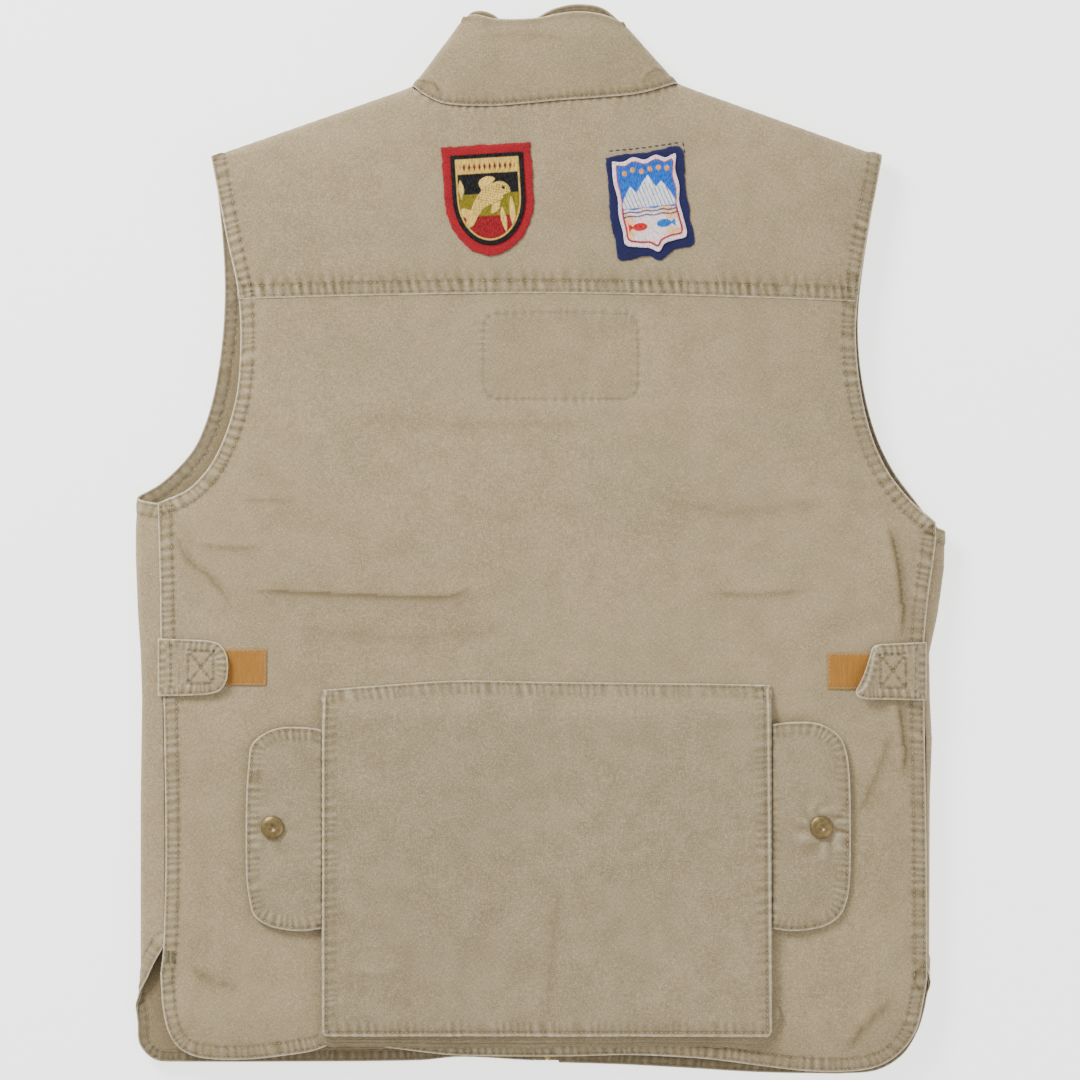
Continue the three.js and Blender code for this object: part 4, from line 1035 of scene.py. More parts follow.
POUCH = dict(left=-157.0, right=157.0, bottom=-347.0, top=-101.0, rise=Z_POUCH - Z_BACK - 1.3, slope=24.0)
POUCH_CREASES = [
    (Line(smooth([(8, -236), (1, -300), (-1, -345)])), 0.9, 9.0, 0.2),
    (Line(smooth([(-150, -300), (-120, -304), (-96, -298)])), 0.8, 6.0, 0.4),
    (Line(smooth([(60, -120), (90, -160), (140, -180)])), 0.5, 12.0, 0.3),
    (Line(smooth([(-140, -330), (-110, -322), (-70, -326)])), 0.7, 8.0, 0.3),
]


def rounded_box(q, x0, y0, x1, y1, radius):
    """Distance beyond a box with round corners, less than 0 inside, and the way out of it."""
    centre, half = np.array([(x0 + x1) / 2, (y0 + y1) / 2]), np.array([(x1 - x0) / 2,
            (y1 - y0) / 2]) - radius
    d = q - centre
    e = np.abs(d) - half
    past = np.maximum(e, 0)
    far = np.linalg.norm(past, axis=1)
    flat = far < 1e-9
    way = np.where(flat[:, None], np.eye(2)[np.argmax(e, axis=1)], past / np.maximum(far, 1e-9)[:, None])
    return far + np.minimum(e.max(1), 0) - radius, way * np.where(d < 0, -1, 1)


def pouch_height(q):
    x, y = q.T
    p = POUCH
    fall = smoothstep(0, p["slope"], p["top"] - y)
    middle = np.clip(np.minimum.reduce([x - p["left"], p["right"] - x, y - p["bottom"]]) / 90, 0, 1)
    soft = 0.6 * noise(x, y, 70, 101) + 0.35 * noise(x, y, 28, 102)
    puckers = 0.8 * noise(x, 0 * x, 9, 103) * np.exp(-((y - p["bottom"]) / 22) ** 2)
    return (back_height(q) + 1.3 + (p["rise"] + 0.6 * middle) * fall + soft * fall + puckers
            + creased(q, POUCH_CREASES) * fall)


def pouch_place(q):
    """The panel's sides and bottom turn down over a close fold."""
    q = np.asarray(q, float)
    p, radius = POUCH, 1.3
    past, way = rounded_box(q, p["left"], p["bottom"], p["right"], 0, 4.0)
    out, down, rolled, turn = turned_down(past, radius)
    flat = q + way * (out - past)[:, None]
    down *= smoothstep(2, 26, p["top"] - flat[:, 1])
    n = np.column_stack([way * np.sin(turn)[:, None], np.cos(turn)])
    n = np.where(rolled[:, None], n, [0.0, 0.0, 1.0])
    return np.column_stack([flat, pouch_height(flat) - down]), n


pouch_top = smooth([(157.8, -101.5), (110, -100.6), (0, -99.4), (-61, -98.4), (-103, -100.8),
                    (-158.6, -105)])
pouch_rim = joined([(-158.6, -105), (-159.6, -140), (-159.6, -347)], [(-159.6, -347), (-157, -349.6)],
                   [(-157, -349.6), (157, -349.6)], [(157, -349.6), (159.6, -347)],
                   [(159.6, -347), (157.8, -101.5)])
pouch_rim = spaced(pouch_rim, 2.0)
pouch = Cloth(joined(pouch_rim, pouch_top), pouch_place, [
    edge(pouch_rim, seed=104, rows=(5.4,), fold=11.0, pucker=0.26, thick=0.35, wear=0.0, size=6.0),
    dimple_line(inset(pouch_rim, 3.2), depth=-0.3, pucker=0, seed=105, dark=0, light=0.8, reach=3,
                wide=0.6),
    edge(pouch_top, seed=106, rows=(1.8,), fold=8.0, pucker=0.4, thick=0.5, wear=0.8),
    shade(pouch_rim, 20, 0.12, 107),
    crease_shade(POUCH_CREASES[:2], 0.3),
], lines=[line for line, _, _, _ in POUCH_CREASES[:2]], band=17, rows=(1.8, 3.4, 5.4))
pouch.make("pouch_cloth", POUCH_SHELL, "vest", ["pouch_panel"], inner=0.3)
vest_threads.row(pouch, inset(pouch_rim, 5.4), seed=108)
vest_threads.row(pouch, inset(pouch_top, 1.8), seed=109)


def ribbon(name, rows, material, body, nodes, thick=1.0, dark=None):
    """A closed strip of cloth from a grid of points, rows by columns, with its face on the side that
    the columns turn away from."""
    g = np.asarray(rows, float)
    du, dv = np.gradient(g, axis=0), np.gradient(g, axis=1)
    n = np.cross(du, dv)
    n /= np.maximum(np.linalg.norm(n, axis=2, keepdims=True), 1e-9)
    u, v = g.shape[:2]
    points = np.vstack([g.reshape(-1, 3), (g - n * thick).reshape(-1, 3)])
    at = np.arange(u * v).reshape(u, v)
    top = np.stack([at[:-1, :-1], at[1:, :-1], at[1:, 1:], at[:-1, 1:]], axis=2).reshape(-1, 4)
    ring = np.concatenate([at[0, :-1], at[:-1, -1], at[-1, :0:-1], at[:0:-1, 0]])
    after = np.roll(ring, -1)
    faces = top.tolist() + (top[:, ::-1] + u * v).tolist()
    faces += np.column_stack([ring, after, after + u * v, ring + u * v]).tolist()
    shades = np.zeros(u * v) if dark is None else np.asarray(dark).ravel()
    obj = piece(name, points, faces, material, body,
                {"dark": np.tile(shades, 2), "light": np.zeros(2 * u * v)})
    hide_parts(*nodes)
    return obj


# The bellows: a pleat under the panel's edge that shows below it and at its low corners.
run = spaced(joined([(-157, -136), (-157, -340)], smooth([(-157, -340), (-154.5, -345), (-150, -347)]),
                    [(-150, -347), (150, -347)], smooth([(150, -347), (154.5, -345), (157, -340)]),
                    [(157, -340), (157, -136)]), 2.2 * COARSE)
along = np.concatenate([[0], np.cumsum(np.linalg.norm(np.diff(run, axis=0), axis=1))])
way = np.gradient(run, axis=0)
way /= np.linalg.norm(way, axis=1, keepdims=True)
way = np.column_stack([way[:, 1], -way[:, 0]])
low = smoothstep(-338, -347, run[:, 1])
base, top = back_height(run) + 1.2, pouch_height(run) - 2.4
wave = 0.9 * noise(along, 0 * along, 26, 111) + 0.5 * noise(along, 0 * along, 9, 112)
rows = []
for share, sides_out, low_out, wavy in ((0.0, -2.2, -2.4, 0.0), (0.05, -2.6, -1.2, 0.2), (0.12, -3.4, 1.8,
            0.5), (0.2, -3.8, 3.8, 0.8), (0.28, -3.0, 4.8, 1.0), (0.36, -1.0, 4.4, 1.0), (0.43, 0.2, 3.0,
            0.9), (0.5, 0.8, 2.6, 0.9), (0.58, 0.6, 4.4, 1.0), (0.68, -0.4, 6.8, 1.3), (0.78, -1.4, 8.6,
            1.5), (0.86, -2.4, 8.2, 1.3), (0.93, -4.0, 5.0, 0.7), (1.0, -6.0, 1.5, 0.0)):
    out = sides_out * (1 - low) + low_out * low + wavy * wave * (0.5 + 0.5 * low)
    out = out + 6.0 * math.sin(math.pi * share) ** 2 * np.exp(-(((run[:, 1] + 333) / 9) ** 2)) * (run[:,
            0] > 0)
    flat = run + way * out[:, None]
    rows.append(np.column_stack([flat, top * (1 - share) + base * share]))
grid = np.stack(rows, axis=1)
# The bellows is painted a quarter darker throughout: painted shade under the panel's edge.
ribbon("pouch_bellows", grid[:, ::-1], POUCH_SHELL, "vest", ["pouch_gusset"],
       dark=np.full(grid.shape[:2], 0.25))

# ---------------------------------------------------------------- pouch side flaps with their snaps

FLAP_DROP_Z = Z_BACK + 5.8


def flap_place(sign):
    def place(q):
        q = np.asarray(q, float)
        x, y = q.T
        reach = np.clip((x - 157.3) / 55, 0, 1)
        corner = np.clip(np.abs(y + 201) / 73, 0, 1)
        z = FLAP_DROP_Z - 1.6 * reach**2 - 1.8 * reach * corner**3
        z += 0.5 * noise(x, y, 24, 121 + sign) + 0.25 * noise(x, y, 11, 123)
        z += 0.7 * np.exp(-(((y + 190 + 0.1 * (x - 160)) / 4) ** 2)) * reach * (sign < 0)
        z -= 0.9 * np.exp(-(np.hypot(x - 192, y + 201) / 9) ** 2)
        return np.column_stack([sign * x, y, z]), facing(q)
    return place


def lathe(name, profile, centre, material, body, nodes=(), turns=40, face=1):
    """A turned metal piece about a vertical line, profile as (radius, height) from the axis round."""
    rings = np.array(profile, float)
    a = np.arange(turns) * math.tau / turns
    points, faces = [], []
    for r, h in rings:
        points.append(np.column_stack([centre[0] + r * np.cos(a), centre[1] + r * np.sin(a),
                    centre[2] + face * h + 0 * a]))
    for i in range(len(rings) - 1):
        for k in range(turns):
            n = (k + 1) % turns
            quad = [i * turns + k, i * turns + n, (i + 1) * turns + n, (i + 1) * turns + k]
            faces.append(quad if face > 0 else quad[::-1])
    first, last = list(range(turns)), [(len(rings) - 1) * turns + k for k in range(turns)]
    faces += [first[::-1] if face > 0 else first, last if face > 0 else last[::-1]]
    obj = piece(name, np.vstack(points), faces, material, body)
    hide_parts(*nodes)
    return obj


CAP = [(3.0, 0.0), (7.2, 0.0), (7.9, 0.25), (8.1, 0.6), (8.0, 1.0), (7.6, 1.3), (6.8, 1.75), (5.6, 2.15),
       (4.4, 2.35), (3.2, 2.35), (2.5, 2.2), (1.9, 1.7), (1.3, 1.25), (0.3, 1.1)]

for sign, name in ((1, "right"), (-1, "left")):
    body = f"pouch_flap_{name}"
    top_y = -127.4 if sign > 0 else -131.0
    reach = 212.3 if sign > 0 else 210.5
    rim = joined(smooth([(157.4, top_y - 1.5), (170, top_y), (187, top_y - 0.3), (199, top_y - 5),
                (207, top_y - 13), (reach - 1.5, top_y - 27), (reach, top_y - 50), (reach, -235),
                (reach - 2, -251), (205, -263), (195, -270), (182, -273), (170, -273.6), (157.4, -272)]))
    flap = Cloth(joined(rim, [(157.4, -272), (157.4, top_y - 1.5)]), flap_place(sign), [
        edge(rim, seed=124 + sign, rows=(2.2,), fold=8.0, pucker=0.42, thick=0.5, size=5.6),
        dimple_line([(157.4, -270), (157.4, -132)], seed=126, depth=0, pucker=0.3, dark=0.35, reach=10),
        pressed(157.4, 0.9, 9.0), radiating((192, -201), 0.75 if sign > 0 else 0.3),
    ], thick=1.1, fine=1.4, spacing=2.6, rows=(2.2,))
    flap.make(f"pouch_flap_cloth_{name}", POUCH_SHELL, body, [f"pouch_flap_{name}"], inner=0.3)
    threads = Threads()
    threads.row(flap, inset(rim, -2.2), seed=127)
    threads.make(f"pouch_flap_stitching_{name}", THREAD, body)
    lathe(f"snap_button_{name}", CAP, (sign * 192, -201, Z_BACK + 6.1), SNAP, body,
          [f"snap_cap_{name}"])

# ---------------------------------------------------------------- side tabs

TAB_TOP = Z_BACK + 3.5
for sign, name, y1, y0, seam_x in ((1, "right", -71.8, -112.3, 265.0), (-1, "left", -69.4, -109.2, 271.5)):
    mid = (y0 + y1) / 2
    turned_back = smooth([(231, y1 - 2), (228.6, y1 - 9), (226.5, mid), (222, y0 + 9), (217, y0 + 5.5)])
    lines = [[(257.7, y1), (238, y1 - 0.8)],
             smooth([(238, y1 - 0.8), (229, y1 - 3.5), (224, y1 - 11), (222.8, mid)]),
             smooth([(222.8, mid), (224, y0 + 11), (229, y0 + 3.5), (238, y0 + 0.8)]),
             [(238, y0 + 0.8), (257.7, y0)]]
    rim = joined(*lines)
    if sign > 0:  # this tab's end has curled over in the wash
        rim = joined([(257.7, y1), (234, y1 - 1)], smooth([(234, y1 - 1), (228.5, y1 - 2.6),
                    (225.8, y1 - 9.5), (222.5, mid + 1), (218, y0 + 11), (215.6, y0 + 6.5),
                    (217.5, y0 + 2.6), (224, y0 + 0.9)]), [(224, y0 + 0.9), (257.7, y0)])

    def tab_place(q, sign=sign, mid=mid):
        q = np.asarray(q, float)
        x, y = q.T
        tip = smoothstep(236, 222, x)
        curl = 1.4 * tip**2
        if sign > 0:
            curl = 4.6 * smoothstep(234, 219, x + 0.28 * (y - mid)) ** 1.5
        z = TAB_TOP + curl + 0.35 * noise(x, y, 16, 131 + sign) - 0.4 * np.abs((y - mid) / 20) ** 3
        return np.column_stack([sign * x, y, z]), facing(q)

    box = [(233.5, y1 - 8.5), (251, y1 - 8), (251.5, y0 + 8.5), (233.5, y0 + 9), (233.5, y1 - 8.5)]
    marks = [edge(rim, seed=132, rows=(1.6,), fold=6.5, pucker=0.42, thick=0.45, wear=0.9, size=5.0)]
    crosses = box[0:2], box[1:3], box[2:4], box[3:5], (box[0], box[2]), (box[1], box[3])
    marks += [dimple_line(run, depth=0.4, pucker=0.1, seed=133, dark=0.4, reach=4) for run in crosses]
    marks.append(pressed(257.7, 1.1, 6.0))
    if sign > 0:
        marks.append(dimple_line(turned_back, depth=-0.35, pucker=0.1, seed=142, dark=0.1, light=0.8,
                reach=4))
    tab = Cloth(joined(rim, [(257.7, y0), (257.7, y1)]), tab_place, marks, thick=1.2, fine=0.9,
                spacing=1.1,
                rows=(1.6,), butt=[(257.7, y0), (257.7, y1)])
    tab.make(f"tab_cloth_{name}", SHELL_TURNED, f"tab_{name}", [f"tab_{name}"])
    threads = Threads()
    threads.row(tab, inset(rim, 1.6), seed=134, thick=0.42, pitch=2.8, length=2.1)
    for run in crosses:
        threads.row(tab, run, seed=135, thick=0.42, pitch=2.6, length=2.0)
    threads.make(f"tab_stitching_{name}", THREAD, f"tab_{name}")

    def base_place(q, sign=sign, seam_x=seam_x):
        q = np.asarray(q, float)
        x, y = q.T
        share = np.clip((x - 257.8) / (seam_x - 257.8), 0, 1)
        flat = np.column_stack([sign * x, y])
        z = TAB_TOP * (1 - share) + (back_height(flat) + 1.9) * share
        return np.column_stack([flat, z]), facing(q)

    ends = [(257.75, y1), (seam_x + 1.5, y1 + 0.4)], [(seam_x + 1.5, y0 - 0.4), (257.75, y0)]
    around = joined(ends[0], [(seam_x + 1.5, y0 - 0.4)], ends[1])
    base_cloth = Cloth(around, base_place, [
        edge(around, seed=136, rows=(1.6,), fold=4.5, pucker=0.4, thick=0.4, wear=0.9, size=5.0),
        dimple_line([(seam_x - 8, y1), (seam_x - 8, y0)], depth=0.5, seed=137, dark=0.4, reach=5),
        pressed(257.7, 1.1, 6.0)],
        thick=1.6, fine=0.9, spacing=1.2, butt=[(257.7, y0), (257.7, y1)])
    base_cloth.make(f"tab_root_cloth_{name}", SHELL_TURNED, "vest", [f"tab_base_{name}"])
    for run in (inset(around, -1.6), [(seam_x - 8, y1 - 1), (seam_x - 8, y0 + 1)]):
        vest_threads.row(base_cloth, run, seed=138)

    def fold_place(q, base_place=base_place):
        """The ply inside the tab's fold, which closes the gap."""
        p, n = base_place(q)
        p[:, 2] -= 0.75 + 1.1 * np.exp(-(((q[:, 0] - 257.7) / 6.0) ** 2))
        return p, n

    fold = Cloth([(251.5, y0 + 1.2), (262.5, y0 + 1.2), (262.5, y1 - 1.2), (251.5, y1 - 1.2)], fold_place,
                 thick=0.6, fine=0.8, spacing=0.9)
    obj = fold.make(f"tab_fold_cloth_{name}", SHELL_TURNED, None, sheet="folded")
    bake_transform(obj)

    outline = [(231.8, mid - 13), (231.8, mid + 13), (254.8, mid + 13), (254.8, mid - 13)]
    hook = Cloth(outline[::-1], lambda q, s=sign: (np.column_stack([s * q[:, 0], q[:, 1],
                0 * q[:, 0] + TAB_TOP - 2.3]), facing(q, -1.0)), thick=0.9, fine=1.4, spacing=2.4)
    hook.make(f"hook_cloth_{name}", HOOK, f"tab_{name}", [f"hook_tape_{name}"], slot="loop_tape")
    outline = joined([(196.6, mid - 12.6), (196.4, mid + 13), (255, mid + 12.5), (255, mid - 12.5)])
    loop = Cloth(outline, lambda q, s=sign: flat_on(back_height, 1.3)(np.column_stack([s * q[:, 0],
                q[:, 1]])), [edge(joined([(255, mid + 12.5), (196.4, mid + 13)], [(196.4, mid + 13),
                (196.6, mid - 12.6)], [(196.6, mid - 12.6), (255, mid - 12.5)]), seed=139, rows=(1.3,),
                fold=3, thick=0.1, pucker=0.2, wear=0.45)], thick=1.0, fine=1.2, spacing=2.0)
    loop.make(f"loop_cloth_{name}", LOOP, "vest", [f"loop_tape_{name}"], slot="loop_tape")
    vest_threads.row(loop, [(198, mid - 11.5), (198, mid + 11.8), (230, mid + 11.5)], seed=140, pitch=2.8,
                     length=2.1)
    vest_threads.row(loop, [(198, mid - 11.5), (230, mid - 11.5)], seed=141, pitch=2.8, length=2.1)

# ---------------------------------------------------------------- pockets and zip on the front

def bag_place(sign, rect, radius, level, corner=9.0):
    """A bellows pocket: a face that looks down, with walls that run up to the front."""
    x0, y0, x1, y1 = rect

    def place(q):
        q = np.asarray(q, float)
        past, way = rounded_box(q, x0, y0, x1, y1, corner)
        out, rise, rolled, turn = turned_down(past, radius)
        flat = q + way * (out - past)[:, None]
        face = level(flat[:, 1]) + 0.5 + 0.4 * noise(*flat.T, 30, 151) + 0.4 * noise(*flat.T, 13, 152)
        z = face + rise
        waist = 1.6 * np.sin(np.clip(rise / 11, 0, 1) * math.pi) * (rise > radius)
        flat = flat - way * waist[:, None]
        n = np.column_stack([way * np.sin(turn)[:, None], -np.cos(turn)])
        n = np.where(rolled[:, None], n, [0.0, 0.0, -1.0])
        n[:, 0] *= sign
        return np.column_stack([sign * flat[:, 0], flat[:, 1], np.maximum(z, 0.5)]), n
    return place


POCKETS = {
    "lower": dict(rect=(57, -339, 215, -171), flap=(52.5, -221, 219.5, -164), snap=(136, -204.72),
                  level=lambda y: 0.2 + 5.8 * smoothstep(-240, -222, y)),
    "chest": dict(rect=(61, 25, 179, 148), flap=(56.5, 110, 183.5, 155), snap=(120, 121.72),
                  level=lambda y: 0.2 + 5.8 * smoothstep(91, 107, y)),
}
for kind, k in POCKETS.items():
    x0, y0, x1, y1 = k["rect"]
    for sign, name in ((1, "right"), (-1, "left")):
        grow = 10.0
        round_it = [np.column_stack([cx + 19 * np.cos(a), cy + 19 * np.sin(a)]) for cx, cy, a in (
            (x0 + 9, y0 + 9, np.linspace(math.pi, 1.5 * math.pi, 16)),
            (x1 - 9, y0 + 9, np.linspace(-math.pi / 2, 0, 16)))]
        outline = joined([(x0 - grow, y1 - 1)], round_it[0], round_it[1], [(x1 + grow, y1 - 1)])
        hem = [(x0, y1 - 12), (x1, y1 - 12)]
        frame_line = tray(x0 + 3, y0 + 3, x1 - 3, y1 - 4, 7, 2.5)
        bag = Cloth(outline, bag_place(sign, k["rect"], 1.6, k["level"]), [
            dimple_line(frame_line, depth=0.35, pucker=0.35, seed=153, dark=0.3),
            dimple_line(inset(frame_line, -2.6), depth=-0.3, pucker=0, seed=154, dark=0, light=0.7,
                        reach=3),
            dimple_line(hem, seed=155)], thick=1.0, fine=2.0, spacing=3.4, band=13)
        bag.make(f"{kind}_pocket_cloth_{name}", POUCH_SHELL, "vest", [f"{kind}_pocket_{name}"],
                 sheet="folded")
        vest_threads.row(bag, frame_line, seed=156)

        fx0, fy0, fx1, fy1 = k["flap"]
        wall = 9.5

        def lid_place(q, sign=sign, top=fy1):
            q = np.asarray(q, float)
            x, y = q.T
            out, rise, rolled, turn = turned_down(y - top, 1.5)
            soft = (0.25 * noise(x, y, 22, 157) + 0.15 * noise(x, y, 10, 158)) * (rise < 1)
            n = np.column_stack([0 * x, np.where(rolled, np.sin(turn), 0), np.where(rolled, -np.cos(turn),
                        -1.0)])
            return np.column_stack([sign * x, top + out, 2.35 + rise + soft]), n

        lid_rim = tray(fx0, fy0, fx1, fy1 + wall, 12, 3.5)
        lid = Cloth(lid_rim, lid_place, [
            edge(lid_rim, seed=159, rows=(1.8,), fold=7.5, pucker=0.4, thick=0.4, wear=0.85, size=5.6),
            dimple_line([(fx0 + 2, fy1 - 3), (fx1 - 2, fy1 - 3)], seed=160)], thick=1.0, fine=1.7,
            spacing=3.0)
        lid.make(f"{kind}_flap_cloth_{name}", SHELL_TURNED, f"{kind}_flap_{name}",
                 [f"{kind}_flap_{name}"], sheet="folded")
        threads = Threads()
        threads.row(lid, inset(lid_rim, 1.8), seed=161)
        threads.row(lid, [(fx0 + 3, fy1 - 3), (fx1 - 3, fy1 - 3)], seed=162)
        threads.make(f"{kind}_flap_stitching_{name}", THREAD, f"{kind}_flap_{name}")
        lathe(f"{kind}_snap_button_{name}", [(r * 0.94, h * 0.95) for r, h in CAP],
              (sign * k["snap"][0], k["snap"][1], 2.1),
              SNAP, f"{kind}_flap_{name}", [f"{kind}_snap_cap_{name}"], face=-1)

for sign, name in ((1, "right"), (-1, "left")):
    tape = Cloth([(3.3, -361), (16.7, -361), (16.7, 252), (3.3, 252)],
                 lambda q, s=sign: (np.column_stack([s * q[:, 0], q[:, 1], 14.6 + 0 * q[:, 0]]),
                                    facing(q, -1.0)),
                 [dimple_line([(5.2, -370), (5.2, 252)], depth=-0.25, pucker=0, seed=163, reach=2)],
                 thick=0.6, fine=2.2, spacing=3.0)
    tape.make(f"zip_tape_cloth_{name}", ZIP_TAPE, "vest", [f"zip_tape_{name}"], slot="zip_tape")

# The zip's end clamps both fronts just past the slider's travel, and clear of the pull below it.
stop = [(-3.4, -364.6), (-2.6, -365.4), (2.6, -365.4), (3.4, -364.6), (3.4, -361.6), (2.6, -360.8),
        (-2.6, -360.8), (-3.4, -361.6)]
ring = [[(x * k, -363 + (y + 363) * k, z) for x, y in stop] for k,
        z in ((0.88, 12.3), (1, 12.6), (1, 13.7), (0.88, 14.1))]
faces = [[8 * r + k, 8 * r + (k + 1) % 8, 8 * r + 8 + (k + 1) % 8,
          8 * r + 8 + k] for r in range(3) for k in range(8)]
box_end = piece("zip_end_box", np.array(ring).reshape(-1, 3),
                faces + [list(range(7, -1, -1)), list(range(24, 32))],
                ZIP, "vest", flat=True)
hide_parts("zip_box")

# ---------------------------------------------------------------- patches, with motifs of their own

def turned(points, centre, degrees):
    a = math.radians(degrees)
    x, y = np.asarray(points, float).T
    return np.column_stack([centre[0] + x * math.cos(a) - y * math.sin(a), centre[1] + x * math.sin(a) + y *
            math.cos(a)])


def filled(q, outline, soft=0.25):
    """1 inside an outline and 0 outside, with a soft step between."""
    far = Line(outline, 0.8, closed=True).near(q, 4)[0] * np.where(inside(q, np.asarray(outline)), 1, -1)
    return smoothstep(-soft, soft, far)


def ragged(points, amount, size, seed):
    p = spaced(points, 0.9, closed=True)
    n = np.column_stack([noise(*p.T, size, seed), noise(*p.T, size, seed + 1)])
    fray = np.column_stack([noise(*p.T, size / 3, seed + 2), noise(*p.T, size / 3, seed + 3)])
    return p + amount * (n + 0.5 * fray)


class Patch:
    """An embroidered badge, drawn in its own millimetres, then turned and laid on the yoke."""

    def __init__(self, name, centre, degrees):
        self.name, self.centre, self.degrees = name, centre, degrees
        self.layers = []

    def frame(self, q):
        back = np.asarray(q, float) - self.centre
        return turned(back, (0, 0), -self.degrees)

    def place(self, above):
        def place(q):
            p = turned(q, self.centre, self.degrees)
            z = back_height(p) + above + 0.25 * noise(*p.T, 12, 171)
            return np.column_stack([p, z]), facing(q)
        return place

    def felt(self, outline, material, node_name):
        cloth = Cloth(ragged(outline, 0.55, 4.0, 172), self.place(1.5), [
            edge(np.vstack([outline, outline[:1]]), seed=173, rows=(), fold=1.0, pucker=0.25, thick=-0.3,
                 wear=0.25)],
            thick=1.0, fine=0.9, spacing=1.6, rim=0.8)
        slot = "felt_red" if "shield" in self.name else "felt_blue"
        cloth.make(f"{self.name}_felt_cloth", material, "vest", [node_name], slot=slot)

    def face(self, outline, colours, paint, node_name, slot):
        """paint(q) gives, for each colour in turn, how much of it shows, and the height of its stitches."""
        def relief(q):
            lift = np.zeros(len(q))
            for _, cover, height in paint(q):
                lift = lift * (1 - cover) + height * cover
            return lift, 0, 0
        cloth = Cloth(outline, self.place(2.2), [relief], thick=0.6, fine=0.5, spacing=0.62, rim=0.5)
        look = Look(f"{self.name}_threads", 0.8, specular=0.15)
        shade_by = look.noise(620, (5.0, 0.6, 1), 2.0, 0.5, math.radians(self.degrees))
        colour = None
        for (key, cover, _), rgb in zip(paint(cloth.q), colours):
            dark, light = tuple(0.62 * c for c in rgb), tuple(min(1.0, 1.18 * c + 0.015) for c in rgb)
            threads = look.mix(look.ramp(shade_by, 0.38, 0.62), dark, light)
            colour = threads if colour is None else look.mix(look.attribute(key), colour, threads)
        look.colour(colour)
        look.bump(shade_by, 0.7, 0.0005)
        obj = cloth.make(f"{self.name}_embroidery", look.material, "vest", [node_name], slot=slot)
        for key, cover, _ in paint(cloth.q):
            values = obj.data.attributes.new(key, "FLOAT", "POINT").data
            values.foreach_set("value", np.tile(cover, 2).astype(np.float32))


def oval(cx, cy, rx, ry, count=40, start=0.0, end=math.tau):
    a = np.linspace(start, end, count, endpoint=end - start < math.tau - 0.01)
    return np.column_stack([cx + rx * np.cos(a), cy + ry * np.sin(a)])


def shield(half, top, shoulder, foot):
    """Straight top and sides over a half oval."""
    low = oval(0, shoulder, half, shoulder - foot, 34, 0, -math.pi)
    return np.vstack([[(-half, top), (half, top)], low])


badge = Patch("shield_patch", (-40.5, 238), 3.5)
badge.felt(shield(31.5, 39, 2, -38.5), RED_FELT, "shield_patch_felt")
FISH = smooth([(-13, -6), (-9, 2), (-2, 9), (6, 12.5), (11, 12), (14.5, 8.5), (15, 4.5), (11, 3.5),
               (9.5, 0.5), (3, -2.5), (-4, -5.5), (-9, -11), (-13, -6)], 1.0)
FINS = [smooth([(-11, -7.5), (-19, -5), (-20.5, -10), (-16.5, -12), (-17.5, -18.5), (-12.5, -17.5),
            (-8.5, -11)], 1.0), smooth([(-5, 7), (-6.5, 13), (-1, 16.5), (5, 15), (2, 11)], 1.0),
    smooth([(2, -3), (1, -9.5), (6, -7.5), (8, -1)], 1.0)]
REEDS = [smooth([(16, -22), (18, -10), (15.5, 2), (13.8, -9), (16, -22)], 1.0),
         smooth([(11, -24), (11.5, -14), (8.5, -5), (7.5, -14), (11, -24)], 1.0),
         smooth([(-19, 1), (-17, 8), (-19.5, 15), (-21, 8), (-19, 1)], 1.0)]
RING = shield(25.5, 32.5, 2, -31.5)
PANEL = shield(22.3, 29.5, 2, -28.2)
FIELD = shield(21.2, 28.4, 2, -27.0)


def badge_paint(q):
    x, y = q.T
    field = filled(q, FIELD)
    thread = 0.12 * noise(x, 6 * y, 1.2, 181)
    wave = 0.5 * noise(x, y, 5, 182)
    gold = filled(q, PANEL) - field
    fish = np.clip(sum(filled(q, part) for part in [FISH, *FINS, *REEDS]), 0, 1)
    scales = np.clip(np.sin(2.1 * (x + 0.6 * y)) * np.sin(2.1 * (y - 0.6 * x)) * 3 - 1.2, 0,
                     1) * filled(q, FISH)
    eye = filled(q, oval(10.5, 8.2, 1.2, 1.2, 16))
    ticks = (smoothstep(0.15, 0.45,
                        np.abs(((x / 3.6) % 1) - 0.5) + 0.10 * np.abs(y - 23.6))) * (np.abs(y - 23.6) < 2.9)
    return [
        ("thread_black", np.ones(len(q)), 0.25 + thread),
        ("thread_gold", np.clip(gold + field * smoothstep(18.6, 19.2, y + wave * 0.3), 0, 1),
         0.5 + 2 * thread),
        ("thread_wine", field * (1 - ticks) * (np.abs(y - 23.6) < 2.9) * (np.abs(x) < 19.5),
         0.55 + thread),
        ("thread_olive", field * smoothstep(-11.4, -10.8, y) * smoothstep(4.9, 4.3, y + 0.2 * wave),
         0.4 + thread),
        ("thread_red", field * smoothstep(-10.8, -11.4, y), 0.35 + thread),
        ("thread_fish", fish * field * (1 - 0.85 * scales) * (1 - eye), 0.95 + 3 * thread),
    ]


badge.face(RING,
           [srgb(8, 6, 8), srgb(206, 168, 78), srgb(92, 8, 16), srgb(118, 106, 10), srgb(132, 10, 18),
                  srgb(216, 180, 92)], badge_paint, "shield_patch_face", "embroidery_gold")

